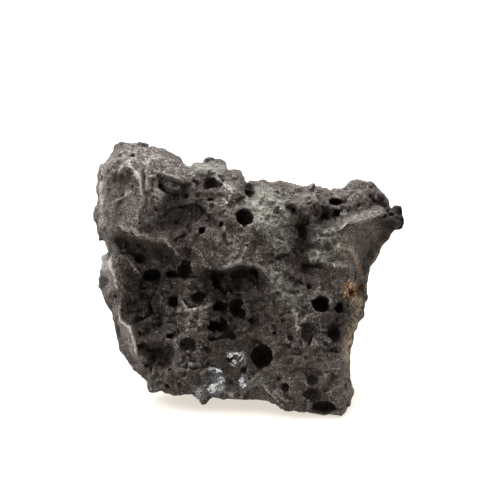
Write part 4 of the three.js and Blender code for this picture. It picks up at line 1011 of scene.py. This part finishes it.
# %% The mesh of the lump
MOST_TRIANGLES = 192_000
BACK_SHARE, BACK_BEGINS = 0.3, -11  # share of its triangles that the back keeps; out, in mm
lump = new_object("basalt_lump", to_row(vertices), quads.tolist())
behind_face = vertices[:, 2] < BACK_BEGINS
back_group = lump.vertex_groups.new(name="back")
back_group.add(np.nonzero(behind_face)[0].tolist(), 1.0, "REPLACE")
back_quads = behind_face[quads].all(axis=1).sum()
print("quads at the back:", back_quads, "of", len(quads))
thin(lump, 2 * (len(quads) - (1 - BACK_SHARE) * back_quads), "back")
thin(lump, MOST_TRIANGLES)
lump.vertex_groups.clear()
thinned = lump.data
thinned.name = "basalt_lump"
thinned.polygons.foreach_set("use_smooth", np.ones(len(thinned.polygons), bool))
print("lump:", len(thinned.polygons), "faces")

# %% [markdown]
# ## Where the lump is worn, crusted and stained, and where light and shade are painted
#
# The colours of a rock follow its shape. How much rock lies in a small cube around each point
# tells its shape: half on a flat, less on an edge that is rubbed pale, more in a corner, which is
# painted darker as shade. Minerals and patches of painted light and shade have their own places,
# given as soft ellipses on the face.

# %% Rock around each cell
def rock_share(reach):
    """The share of rock in a cube of a given half size around each cell: a running mean along
    each axis in turn."""
    share = (field < 0).astype(np.float32)
    span = 2 * reach + 1
    for axis in range(3):
        padding = [(reach + 1, reach) if a == axis else (0, 0) for a in range(3)]
        total = np.cumsum(np.pad(share, padding), axis=axis, dtype=np.float32)
        ahead = [slice(None)] * 3
        behind = [slice(None)] * 3
        ahead[axis] = slice(span, None)
        behind[axis] = slice(None, -span)
        share = (total[tuple(ahead)] - total[tuple(behind)]) / span
    return share


def cell_values(block, points):
    """Values of the block at points (x, up, out), by linear mixing of the 8 cells around."""
    spot = (points - np.array([axis[0] for axis in AXES])) / VOXEL
    spot = np.clip(spot, 0, np.array(block.shape) - 1.001)  # just inside the last cells
    cell = spot.astype(int)
    t = spot - cell
    value = np.zeros(len(points))
    for corner in np.ndindex(2, 2, 2):
        weight = np.prod(np.where(corner, t, 1 - t), axis=1)
        value += weight * block[tuple((cell + corner).T)]
    return value


# %% Rock around each point of the lump
FINE_REACH, WIDE_REACH = 0.45, 1.6  # mm
row_points = np.empty(len(thinned.vertices) * 3)
thinned.vertices.foreach_get("co", row_points)
row_points = row_points.reshape(-1, 3) / MM
shifted = row_points + np.array([MIDDLE_X, MIDDLE_Y, 0])
points_x = shifted[:, 0]
points_up = FACE_FOOT + shifted[:, 1] * math.sin(LEAN) + shifted[:, 2] * math.cos(LEAN)
points_out = shifted[:, 2] * math.sin(LEAN) - shifted[:, 1] * math.cos(LEAN)
face_frame = np.column_stack([points_x, points_up, points_out])
fine_share = cell_values(rock_share(max(1, round(FINE_REACH / VOXEL))), face_frame)
wide_share = cell_values(rock_share(round(WIDE_REACH / VOXEL)), face_frame)
print("share of rock, fine:", np.percentile(fine_share, (5, 50, 95)).round(2))

# %% Zones of the face: middle, half sizes, turn, strength
ZONES = {
    "calm": (  # smooth stretches with fine, even dust
        ((-24.3, 24.8), (1.8, 4.2), 0, 1.0), ((-20.8, 12.3), (1.9, 5.0), 15, 1.0),
        ((-24.9, 36.8), (0.9, 5.8), 2, 0.7), ((-21.6, 37.0), (3.2, 5.0), 0, 0.35),
        ((19.8, 29.6), (3.4, 3.6), -20, 1.0), ((19.2, 33.9), (4.4, 1.4), 8, 0.6),
        ((0.0, 8.5), (15.0, 3.6), 0, 0.5), ((-13.5, 24.0), (6.5, 8.0), 0, 0.3),
    ),
    "crust": (  # grey-green crust in hollows
        ((2.6, 35.0), (2.6, 2.6), 0, 1.0), ((5.0, 31.2), (1.6, 2.8), 0, 0.8),
        ((13.0, 30.3), (1.8, 1.7), 0, 0.8), ((4.6, 22.6), (1.2, 2.6), 20, 0.5),
        ((6.6, 20.0), (1.2, 1.8), 25, 0.5), ((11.2, 27.0), (1.6, 1.0), 0, 0.6),
        ((-7.5, 41.8), (3.6, 0.8), 0, 0.6), ((15.2, 28.6), (1.6, 0.5), -10, 0.9),
        ((15.3, 25.4), (1.2, 0.5), 0, 0.9), ((0.5, 5.8), (1.6, 1.2), 0, 0.4),
    ),
    "stain": (  # rust and lime
        ((16.7, 21.0), (1.2, 1.7), 0, 1.0), ((18.1, 25.2), (0.4, 1.6), 20, 0.35),
        ((17.1, 27.0), (0.3, 1.2), 30, 0.4),
    ),
    "cream": (  # tan stains
        ((19.6, 30.5), (3.2, 3.0), -20, 0.12), ((16.9, 12.6), (1.0, 3.6), -8, 1.0),
        ((18.2, 18.4), (0.7, 2.2), -12, 0.8), ((15.8, 28.2), (1.3, 1.0), 0, 0.3),
        ((20.6, 24.5), (0.5, 2.6), -18, 0.7),
    ),
    "whitened": (  # white dust round the crystals
        ((-5.8, 5.3), (1.8, 1.4), 0, 0.75), ((-2.3, 9.9), (1.5, 1.0), -20, 0.5),
        ((-5.8, 7.9), (1.1, 0.6), -25, 0.7), ((-1.2, 5.9), (0.7, 1.1), 0, 0.7),
        ((-8.4, 4.3), (1.1, 1.3), 0, 0.7), ((-9.8, 8.9), (0.35, 0.6), 0, 0.9),
        ((-9.2, 10.2), (0.35, 0.35), 0, 0.6), ((-2.6, 4.9), (0.4, 0.25), 30, 0.8),
        ((-3.1, 4.0), (0.4, 0.8), 50, 0.6), ((3.6, 7.7), (0.3, 0.3), 0, 0.7),
    ),
    "dark_rock_and_painted_shade": (  # painted shade on facets that face away from the light, and rock darker than the rest
        ((-12.0, 32.6), (2.4, 2.4), 0, 0.6), ((-21.5, 44.0), (2.2, 1.0), 0, 0.4),
        ((-5.0, 32.3), (3.0, 3.2), 0, 0.3), ((-21.3, 42.7), (1.1, 0.45), 25, 0.8),
        ((-22.5, 40.0), (0.45, 0.8), 0, 0.6), ((-20.3, 39.2), (1.2, 1.6), 0, 0.45),
        ((-18.5, 43.0), (0.8, 1.5), -20, 0.5), ((-7.0, 38.7), (1.9, 1.6), 0, 0.4),
        ((-13.7, 33.7), (2.9, 2.4), 0, 0.5), ((-15.5, 20.5), (6.0, 2.6), 0, 0.6),
        ((-18.3, 28.3), (3.3, 1.6), -25, 0.8), ((-14.2, 27.5), (3.8, 1.8), 0, 0.6),
        ((-10.8, 29.5), (2.4, 1.6), 0, 0.5), ((-16.7, 23.4), (5.0, 1.4), 0, 0.9),
        ((-6.3, 22.2), (1.5, 2.6), 25, 0.8), ((-20.8, 21.2), (1.5, 2.3), 0, 0.5),
        ((-16.7, 17.0), (2.8, 2.8), 0, 0.6), ((-15.3, 10.3), (1.8, 3.0), 0, 0.3),
        ((-3.0, 15.6), (3.8, 2.0), 0, 0.6), ((-2.5, 12.5), (4.5, 1.5), 0, 0.6),
        ((8.7, 27.8), (1.5, 4.6), 0, 0.7), ((12.5, 33.5), (1.7, 1.1), 0, 0.9),
        ((14.7, 15.3), (1.8, 3.6), -8, 0.8), ((24.4, 33.3), (1.4, 2.1), 0, 2.4),
        ((22.5, 37.0), (1.6, 1.4), -50, 0.5), ((-0.3, 37.8), (1.1, 1.0), 0, 0.8),
    ),
    "pale_rock_and_painted_light": (  # painted light on facets that face the light from above and the left, and rock paler than the rest
        ((-21.7, 36.2), (3.8, 6.0), 0, 0.2), ((-24.95, 36.8), (0.6, 5.4), 2, 1.0),
        ((-22.5, 37.7), (0.8, 1.7), 10, 0.3), ((-16.6, 39.0), (1.4, 1.1), 0, 0.5),
        ((-16.3, 35.3), (1.5, 3.4), 0, 1.1), ((19.6, 30.5), (3.0, 2.8), -20, 1.05),
        ((-18.4, 40.8), (0.8, 1.7), 0, 0.9), ((-16.7, 42.8), (5.8, 2.0), -25, 1.35),
        ((-4.7, 39.2), (2.8, 1.6), -35, 0.5), ((-3.0, 29.5), (3.0, 2.4), 0, 0.3),
        ((-1.7, 26.5), (3.6, 0.9), 0, 0.6), ((4.2, 22.5), (1.0, 3.2), 28, 0.6),
        ((-10.3, 17.3), (2.6, 2.2), 0, 0.55), ((-24.3, 24.8), (1.6, 4.0), 0, 1.7),
        ((-20.6, 12.3), (1.5, 4.4), 15, 1.1), ((10.5, 8.0), (6.5, 6.5), 0, 0.12),
        ((19.2, 33.7), (4.2, 1.2), 8, 1.35), ((8.3, 19.5), (2.4, 2.6), 0, 0.35),
        ((-2.5, 3.7), (4.0, 1.0), 0, 0.4), ((-0.8, 6.2), (2.5, 1.8), 0, 0.3),
        ((19.2, 37.8), (2.8, 1.3), 0, 0.3), ((-13.1, 38.9), (2.0, 1.2), -20, 0.8),
    ),
}
# A zone fades where a point lies more than this behind the face, mm.
ZONE_REACH = {"calm": 3.0, "stain": 3.0, "cream": 2.2, "pale_rock_and_painted_light": 1.5}
USUAL_REACH = 2.0
print("patches:", {name: len(patches) for name, patches in ZONES.items()})


# %% Zones at the points of the lump
UNEVEN_SIZE, UNEVEN_SHARE = 2.2, 0.5  # mm, and share of a reach: how a zone's far border wanders
flat_cells = [np.searchsorted(axis, p) for axis, p in zip(flat_axes, (points_x, points_up))]
flat_cells = tuple(np.clip(i, 0, n - 1) for i, n in zip(flat_cells, edge_map.shape))
below_face = face_height[flat_cells] - points_out
unevenness = cell_values(smooth_noise(AXES, UNEVEN_SIZE, 81), face_frame)


def zone(patches, reach):
    """The strongest of several soft patches at each point. It fades where a point lies more than
    a reach in mm behind the face, at an uneven border."""
    strongest = np.zeros(len(points_x))
    for middle, half, turn, strength in patches:
        here = strength * patch(points_x, points_up, middle, half, turn, 0.6)
        strongest = np.maximum(strongest, here)
    return strongest * np.clip(2 - below_face / reach + UNEVEN_SHARE * unevenness, 0, 1)


def keep_attribute(mesh, name, values):
    """One number for each vertex, under a name that a material can read."""
    attribute = mesh.attributes.new(name, "FLOAT", "POINT")
    attribute.data.foreach_set("value", np.asarray(values, np.float32))


zones = {name: zone(table, ZONE_REACH.get(name, USUAL_REACH)) for name, table in ZONES.items()}
for name, values in zones.items():
    keep_attribute(thinned, name, values)
print("mean of each zone:", {name: round(values.mean(), 3) for name, values in zones.items()})


# %% Painted shade in bubbles and hollows, and worn edges, at the points of the lump
def between(values, start, end):
    """0 up to the start, 1 from the end on, and evenly between; the end may be the lower one."""
    return np.clip((values - start) / (end - start), 0, 1)


MOUTH = (0.75, 0.25)  # a bubble's inside is painted with shade between these heights, as shares of its half depth
WALL = (1.3, 1.1)  # and between these reaches
EDGE_REACH = 0.6  # mm behind the face
CALM_WEAR = 0.5  # share of the wear that a calm stretch lacks
bubble_shade = np.zeros(len(face_frame))
# painted shade inside the bubbles
for middle, half in sunk_bubbles:
    reach = ellipsoid_reach(face_frame.T, middle, half)
    raised = (points_out - middle[2]) / half[2]
    bubble_shade = np.maximum(bubble_shade, between(raised, *MOUTH) * between(reach, *WALL))
shapes = {
    "painted_bubble_shade": bubble_shade,
    "worn": between(fine_share, 0.47, 0.25) * (1 - CALM_WEAR * zones["calm"]),
    # painted shade: corners, narrow and wide, are darkened where less light reaches
    "painted_hollow_shade": between(fine_share, 0.54, 0.74),
    "painted_deep_shade": between(wide_share, 0.56, 0.76),
    "edge": edge_map[flat_cells] * np.clip(2 - below_face / EDGE_REACH, 0, 1),
}
for name, values in shapes.items():
    keep_attribute(thinned, name, values)
print("mean of each shape:", {name: round(values.mean(), 3) for name, values in shapes.items()})

# %% [markdown]
# ## Basalt
#
# Broken basalt is a felt of dark and pale grains far smaller than a millimetre, brownish where
# it has weathered. An image wrapped round it would smear on the sides, so the colour is grown
# from noise in the object's own space: grain, blotches and tint each at their own size.

# %% A small kit for materials
def new_material(name):
    """A material, its node tree and its shader."""
    material = bpy.data.materials.new(name)
    material.use_nodes = True
    shader = material.node_tree.nodes["Principled BSDF"]
    return material, material.node_tree, shader


def node(tree, kind, inputs=None, **settings):
    """A node with its settings, and its inputs set to values or linked to other sockets."""
    made = tree.nodes.new(kind)
    for key, value in settings.items():
        setattr(made, key, value)
    for key, value in (inputs or {}).items():
        if isinstance(value, bpy.types.NodeSocket):
            tree.links.new(value, made.inputs[key])
        else:
            made.inputs[key].default_value = value
    return made


def noise(tree, place, scale, detail=2.0, roughness=0.5):
    """Noise with so many cells in a metre, read at a place."""
    inputs = {"Vector": place, "Scale": scale, "Detail": detail, "Roughness": roughness}
    return node(tree, "ShaderNodeTexNoise", inputs).outputs["Fac"]


def ramp(tree, value, low, high, start=0.0, end=1.0):
    """The value's stretch from low to high, made start to end and held there."""
    inputs = {"Value": value, "From Min": low, "From Max": high, "To Min": start, "To Max": end}
    return node(tree, "ShaderNodeMapRange", inputs).outputs["Result"]


def maths(tree, operation, *values):
    """One step of arithmetic on sockets and numbers."""
    return node(tree, "ShaderNodeMath", dict(enumerate(values)), operation=operation).outputs[0]


def times(tree, a, b):
    """The product of two sockets, or of a socket and a number."""
    return maths(tree, "MULTIPLY", a, b)


def summed(tree, start, terms):
    """A start plus each socket times its weight."""
    total = start
    for socket, weight in terms:
        total = maths(tree, "MULTIPLY_ADD", socket, weight, total)
    return total


def mix(tree, share, below, above):
    """Two colours mixed by a share."""
    colours = [c if isinstance(c, bpy.types.NodeSocket) else (*c, 1) for c in (below, above)]
    inputs = {0: share, 6: colours[0], 7: colours[1]}  # the sockets of a mix of colours
    return node(tree, "ShaderNodeMix", inputs, data_type="RGBA").outputs[2]


def reading(tree, name):
    """The number that the mesh keeps under a name."""
    return node(tree, "ShaderNodeAttribute", attribute_name=name).outputs["Fac"]


# %% Basalt: noise of each size
NOISES = {  # cells in a metre, detail, roughness
    "grain": (4700, 3.0, 0.7),
    "grit": (1700, 4.0, 0.65),
    "blotch": (560, 4.0, 0.6),
    "drift": (150, 3.0, 0.55),
    "fleck": (2500, 1.0, 0.5),
    "coarseness": (620, 2.0, 0.5),
    "hairline": (800, 5.0, 0.7),
    "crack": (1000, 4.0, 0.7),
    "rust": (950, 3.0, 0.6),
    "lime": (1500, 2.0, 0.6),
    "tan": (1200, 4.0, 0.65),
}
LINE_WIDTH = 0.015  # as a share of a noise's range
basalt, tree, shader = new_material("basalt")
place = node(tree, "ShaderNodeTexCoord").outputs["Object"]
noises = {name: noise(tree, place, *settings) for name, settings in NOISES.items()}
grain, grit, blotch, drift = (noises[name] for name in ("grain", "grit", "blotch", "drift"))
marks = {name: reading(tree, name) for name in (*zones, *shapes)}


def thin_lines(tree, value):
    """1 where a noise passes through its middle, and 0 from a line's width away."""
    from_middle = ramp(tree, value, 0.0, 1.0, -0.5, 0.5)
    return ramp(tree, maths(tree, "ABSOLUTE", from_middle), LINE_WIDTH, 0.0)


print("cells of noise, mm:", {name: round(1 / (MM * n[0]), 2) for name, n in NOISES.items()})

# %% Basalt: how bright it is
# How bright the rock is goes by powers: a spread that is even on a scale of powers gives few
# bright grains and many dark ones, as crushed crystals do. All shares are added up on that scale.
GRAIN_WEIGHT = 7.4
WEIGHTS = {"grit": 1.7, "blotch": 1.7, "drift": 1.1}
# painted shade: the dark zone, the bubble insides, the hollows and the deep places are darkened
SHADE_AND_DARK_ROCK_WEIGHTS = {"dark_rock_and_painted_shade": -1.0, "painted_hollow_shade": -0.6, "painted_deep_shade": -0.3, "painted_bubble_shade": -0.75}
DUST_WEAR_AND_PAINTED_LIGHT_WEIGHTS = {"pale_rock_and_painted_light": 1.1, "worn": 0.8, "edge": 2.6}  # the pale zone's painted light, and wear; these are as patchy as dust is
HAIRLINE_WEIGHT, CRACK_WEIGHT, FLECK_WEIGHT = 0.7, -0.7, 1.4
CALM_SPECKLE, CALM_PATCHES, CALM_DUST = 0.62, 0.35, 0.42  # what a smooth stretch has of each
BRIGHTEST = 1.9  # power of e
# The grain is coarse in some spots and faint in others.
coarse = ramp(tree, noises["coarseness"], 0.4, 0.62, 0.6, 1.5)
grain_light = times(tree, ramp(tree, grain, 0.0, 1.0, -0.5, 0.5), coarse)
speckled = summed(
    tree,
    -sum(WEIGHTS.values()) / 2,
    [(grain_light, GRAIN_WEIGHT)] + [(noises[name], weight) for name, weight in WEIGHTS.items()],
)
fleck = times(tree, ramp(tree, noises["fleck"], 0.66, 0.76), ramp(tree, drift, 0.45, 0.6))
# Hairlines are light cleavage edges, and cracks are dark.
hairlines = thin_lines(tree, noises["hairline"])
hairlines = times(tree, hairlines, ramp(tree, drift, 0.42, 0.58, 0.2, 1.0))
# Smooth facets show less of all that, and their dust lies evenly.
calm_patches = ramp(tree, marks["calm"], 0.0, 1.0, 1.0, CALM_PATCHES)
patchy = times(tree, ramp(tree, grit, 0.35, 0.6, 0.25, 1.0), calm_patches)
patchy = summed(tree, patchy, [(marks["calm"], CALM_DUST)])
light = summed(
    tree,
    times(tree, speckled, ramp(tree, marks["calm"], 0.0, 1.0, 1.0, CALM_SPECKLE)),
    [
        (hairlines, HAIRLINE_WEIGHT),
        (thin_lines(tree, noises["crack"]), CRACK_WEIGHT),
        (fleck, FLECK_WEIGHT),
        *((times(tree, marks[name], patchy), weight) for name, weight in DUST_WEAR_AND_PAINTED_LIGHT_WEIGHTS.items()),
        *((marks[name], weight) for name, weight in SHADE_AND_DARK_ROCK_WEIGHTS.items()),
    ],
)
light = maths(tree, "MINIMUM", light, BRIGHTEST)
print("brightest rock: e to the power of", BRIGHTEST, "times its tint")

# %% Basalt: its colours
WARM_DARK = (0.05, 0.0355, 0.0275)
COOL_PALE = (0.047, 0.0425, 0.0395)
CRUST_GREEN = (0.29, 0.297, 0.252)
RUST = (0.32, 0.15, 0.045)
CREAM_TAN = (0.37, 0.28, 0.17)
LIME = (0.6, 0.52, 0.4)
DUST_WHITE = (0.4, 0.4, 0.42)
tint = mix(tree, ramp(tree, light, -1.0, 1.1), WARM_DARK, COOL_PALE)
power = maths(tree, "EXPONENT", light)
scaled = node(tree, "ShaderNodeVectorMath", {0: tint, "Scale": power}, operation="SCALE")
colour = scaled.outputs["Vector"]
grainy = summed(tree, -0.5, ((grain, 1.0), (grit, 1.0)))
clouded = times(tree, ramp(tree, blotch, 0.4, 0.6), ramp(tree, grit, 0.4, 0.56, 0.2, 1.0))
layers = (  # the zone, how its mineral is spread there, and its colour, from the lowest up
    ("crust", ramp(tree, grainy, 0.42, 0.6, 0.15, 0.88), CRUST_GREEN),
    ("whitened", clouded, DUST_WHITE),
    ("stain", ramp(tree, noises["rust"], 0.43, 0.55), RUST),
    ("stain", ramp(tree, noises["lime"], 0.57, 0.65), LIME),
    ("cream", ramp(tree, noises["tan"], 0.44, 0.6, 0.05, 0.95), CREAM_TAN),
)
for name, spread, mineral in layers:
    colour = mix(tree, times(tree, marks[name], spread), colour, mineral)
tree.links.new(colour, shader.inputs["Base Color"])
print("layers of colour:", [layer[0] for layer in layers])

# %% Basalt: its fine relief and its shine
RELIEF, RELIEF_STRENGTH = 0.6 * MM, 0.8
height = summed(tree, 0.0, ((grain, 0.9), (grit, 0.9), (blotch, 1.0)))
bump = {"Height": height, "Strength": RELIEF_STRENGTH, "Distance": RELIEF}
tree.links.new(node(tree, "ShaderNodeBump", bump).outputs["Normal"], shader.inputs["Normal"])
tree.links.new(ramp(tree, blotch, 0.3, 0.7, 0.6, 0.85), shader.inputs["Roughness"])
shader.inputs["Specular IOR Level"].default_value = 0.16
lump.data.materials.append(basalt)
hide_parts("basalt_matrix")
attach(lump, "root")
print("basalt:", len(tree.nodes), "nodes")

# %% [markdown]
# ## Gyrolite
#
# Gyrolite grows as rosettes of thin six-sided plates with a pearly sheen, rooted on the rock in
# ragged patches. The plates are too small to be told apart from a step away, and too thin to
# carve out of cells, so each is a six-sided prism of its own, rooted at a point of the lump's
# surface, and one patch's plates are one mesh.

# %% Where the plates are rooted
# Of each tuft: its middle, half sizes, number of plates and whiteness.
TUFTS = {
    "gyrolite_low_cluster": (
        ((-6.3, 4.9), (0.75, 0.55), 500, 1.7),
        ((-5.8, 5.6), (0.55, 0.4), 380, 1.25),
        ((-4.9, 6.2), (0.5, 0.55), 320, 0.95),
        ((-4.9, 5.0), (0.6, 0.6), 160, 0.5),
        ((-8.4, 4.1), (0.6, 0.8), 220, 0.5),
    ),
    "gyrolite_upper_cluster": (
        ((-2.6, 9.1), (0.5, 0.4), 170, 1.1),
        ((-1.5, 10.0), (0.45, 0.6), 150, 0.8),
        ((-3.3, 10.5), (0.4, 0.25), 60, 0.9),
        ((-2.4, 10.75), (0.5, 0.2), 50, 0.8),
    ),
    "gyrolite_left_tuft": (
        ((-6.2, 8.1), (0.45, 0.22), 90, 0.9),
        ((-5.2, 7.6), (0.3, 0.25), 70, 0.9),
    ),
    "gyrolite_right_tuft": (
        ((-1.3, 6.0), (0.35, 0.6), 120, 1.0),
        ((-0.9, 5.2), (0.25, 0.35), 30, 0.7),
    ),
}
FACING = -0.2  # plates grow only where the normal's y is below this
DEEPEST = 2.5  # and not further than this behind the face, mm
normals = np.empty(len(thinned.vertices) * 3, np.float32)
thinned.vertex_normals.foreach_get("vector", normals)
normals = normals.reshape(-1, 3).astype(float)
in_front = (normals[:, 1] < FACING) & (below_face < DEEPEST)
print("points that plates may grow from:", int(in_front.sum()))

# %% One plate: a prism with six sides
hexagon = np.linspace(0, 2 * np.pi, 6, endpoint=False)
PRISM = np.array([(math.cos(a), math.sin(a), side) for side in (-1, 1) for a in hexagon])
PRISM_FACES = [(5, 4, 3, 2, 1, 0), (6, 7, 8, 9, 10, 11)] + [
    (i, (i + 1) % 6, 6 + (i + 1) % 6, 6 + i) for i in range(6)
]
PLATE_RADIUS = (0.07, 0.19)  # mm
PLATE_NARROWING = (0.6, 1.0)  # how wide a plate is for its length
PLATE_HALF_THICKNESS = (0.012, 0.025)  # mm
print("a plate:", len(PRISM), "corners and", len(PRISM_FACES), "faces")

# %% Plates of a tuft
MOUND = 0.65  # mm, how high the plates are heaped in the middle of a tuft
LIFT = 0.7  # and how far they stand up besides, as a share of their radius
STANDING = 0.7  # how far a plate's own axis keeps to the rock's normal
GATHERED, HEAPED = 1.1, 0.8  # how steeply the bell curves of number and of height fall
WHITENESS = (0.5, 1.2)  # how plates beside each other differ


def unit(vectors):
    """Each vector divided by its own length."""
    return vectors / np.linalg.norm(vectors, axis=1, keepdims=True)


def plates(name, tufts, seed):
    """Six-sided plates rooted on the lump. For each tuft, surface points are drawn, likelier the
    nearer they are to its middle by a bell curve; each plate is a prism turned to a random axis
    that leans to the normal there, scaled to its own radius and thickness, and lifted."""
    rng = np.random.default_rng(seed)
    roots, density = [], np.zeros(len(points_x))
    for (x, up), (half_x, half_up), count, white in tufts:
        reach = ((points_x - x) / half_x) ** 2 + ((points_up - up) / half_up) ** 2
        chance = np.exp(-GATHERED * reach) * in_front
        roots.append(rng.choice(len(chance), count, p=chance / chance.sum()))
        density = np.maximum(density, white * np.exp(-HEAPED * reach))
    roots = np.concatenate(roots)
    count = len(roots)
    facing = unit(rng.standard_normal((count, 3)) + STANDING * normals[roots])
    side = unit(np.cross(facing, rng.standard_normal((count, 3))))
    turn = np.stack([side, np.cross(facing, side), facing], axis=1)
    radius = rng.uniform(*PLATE_RADIUS, count)
    width = radius * rng.uniform(*PLATE_NARROWING, count)
    size = np.column_stack([radius, width, rng.uniform(*PLATE_HALF_THICKNESS, count)])
    lift = rng.random(count) * (LIFT * radius + MOUND * density[roots])
    middles = row_points[roots] + normals[roots] * lift[:, None]
    corners = np.einsum("nkc,ncd->nkd", PRISM[None] * size[:, None], turn) + middles[:, None]
    faces = [tuple(i + 12 * n for i in face) for n in range(count) for face in PRISM_FACES]
    made = new_object(name, corners.reshape(-1, 3) * MM, faces)
    whiteness = density[roots] * rng.uniform(*WHITENESS, count)
    keep_attribute(made.data, "whiteness", np.repeat(np.clip(whiteness, 0, 1), len(PRISM)))
    return made


# %% The gyrolite material
# Where the plates are few, the rock shines through and greys them.
PEARL_GREY, PEARL_WHITE = (0.66, 0.69, 0.74), (0.95, 0.96, 0.95)
THIN_GREY = (0.17, 0.18, 0.195)
gyrolite, tree, shader = new_material("gyrolite")
place = node(tree, "ShaderNodeTexCoord").outputs["Object"]
cloud = noise(tree, place, 900, 3.0)
frost = noise(tree, place, 5200, 2.0)
colour = mix(tree, ramp(tree, cloud, 0.32, 0.58), PEARL_GREY, PEARL_WHITE)
thinness = ramp(tree, reading(tree, "whiteness"), 0.12, 0.62, 1.0, 0.0)
colour = mix(tree, thinness, colour, THIN_GREY)
tree.links.new(colour, shader.inputs["Base Color"])
tree.links.new(ramp(tree, frost, 0.3, 0.7, 0.25, 0.5), shader.inputs["Roughness"])
shader.inputs["Specular IOR Level"].default_value = 0.6
print("gyrolite:", len(tree.nodes), "nodes")

# %% The clusters
FIRST_SEED = 71
for seed, (name, tufts) in enumerate(TUFTS.items(), FIRST_SEED):
    cluster = plates(f"{name}_plates", tufts, seed)
    cluster.data.materials.append(gyrolite)
    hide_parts(name)
    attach(cluster, "root")
    print(name, len(cluster.data.polygons), "faces")

# %% [markdown]
# ## The table, the light and the camera
#
# The lump stands on a lit white sheet under a large soft light from above and behind, with a second
# soft light on the left. Its top and left flanks are pale, and the face towards the camera
# stays dark: that contrast shows the relief. The camera looks straight at the face.

# %% Table
TABLE_SIZE = 3.0  # m
PAPER_GREYS = (0.21, 0.21, 0.21), (0.23, 0.23, 0.23)
PAPER_GLOW, GLOW_STRENGTH = (1.0, 0.93, 0.83, 1), 0.68  # the sheet is lit from below, too
bpy.ops.mesh.primitive_plane_add(size=TABLE_SIZE)
table = bpy.context.object
table.name = "table"
white, tree, shader = new_material("white_table")
place = node(tree, "ShaderNodeTexCoord").outputs["Object"]
paper = noise(tree, place, 300, 2.0)
tree.links.new(mix(tree, paper, *PAPER_GREYS), shader.inputs["Base Color"])
shader.inputs["Roughness"].default_value = 0.9
shader.inputs["Specular IOR Level"].default_value = 0.1
shader.inputs["Emission Color"].default_value = PAPER_GLOW
shader.inputs["Emission Strength"].default_value = GLOW_STRENGTH
table.data.materials.append(white)
print("table, m:", TABLE_SIZE)

# %% A tent of light
scene = bpy.context.scene
scene.view_settings.view_transform = "Standard"
BRIGHT_SIDE = Vector((-0.25, 0.56, 0.79)).normalized()  # where the light comes from
ROOM_DIM = (0.22, 0.187, 0.16)
ROOM_BRIGHT = (4.7, 4.7, 4.7)
BACKDROP = (1.0, 1.0, 1.0)

world = bpy.data.worlds.new("light_tent")
world.use_nodes = True
tree = world.node_tree
direction = node(tree, "ShaderNodeTexCoord").outputs["Generated"]
facing = node(tree, "ShaderNodeVectorMath", {0: direction, 1: BRIGHT_SIDE}, operation="DOT_PRODUCT")
tent = mix(tree, ramp(tree, facing.outputs["Value"], 0.05, 0.8), ROOM_DIM, ROOM_BRIGHT)
seen = node(tree, "ShaderNodeLightPath").outputs["Is Camera Ray"]
tree.links.new(mix(tree, seen, tent, BACKDROP), tree.nodes["Background"].inputs["Color"])
scene.world = world
print("light comes from", [round(v, 2) for v in BRIGHT_SIDE])


# %% Lamps
def soft_light(name, at, towards, size, watts):
    """A square lamp at a place, in metres, turned towards another."""
    lamp = bpy.data.lights.new(name, "AREA")
    lamp.shape = "SQUARE"
    lamp.size = size
    lamp.energy = watts
    made = bpy.data.objects.new(name, lamp)
    aim = Vector(towards) - Vector(at)
    made.matrix_world = Matrix.Translation(at) @ aim.to_track_quat("-Z", "Y").to_matrix().to_4x4()
    bpy.context.collection.objects.link(made)
    print(name, "lamp:", watts, "W,", round(aim.length, 2), "m away")


LUMP_MIDDLE = (0, 0, 0.02)
soft_light("overhead", (-0.05, 0.2, 0.45), LUMP_MIDDLE, 0.3, 4.5)
soft_light("left", (-0.45, 0.15, 0.2), LUMP_MIDDLE, 0.25, 3.0)

# %% Camera
VIEW_MIDDLE = (0.0, 27.83, 0.0)  # place on the face at the middle of the frame
FRAME_PIXELS, PIXELS_PER_MM = 500, 6
LENS, SENSOR = 250, 36  # mm
CLIP = (0.05, 10)  # m
distance = FRAME_PIXELS / PIXELS_PER_MM * LENS / SENSOR * MM
back = Vector((0, -math.cos(LEAN), math.sin(LEAN)))
target = Vector(to_row([VIEW_MIDDLE])[0])
camera_data = bpy.data.cameras.new("camera")
camera_data.lens = LENS
camera_data.sensor_width = SENSOR
camera_data.clip_start, camera_data.clip_end = CLIP
camera = bpy.data.objects.new("camera", camera_data)
turn = (-back).to_track_quat("-Z", "Y").to_matrix().to_4x4()
camera.matrix_world = Matrix.Translation(target + back * distance) @ turn
bpy.context.collection.objects.link(camera)
scene.camera = camera
print("camera distance, mm:", round(distance / MM))
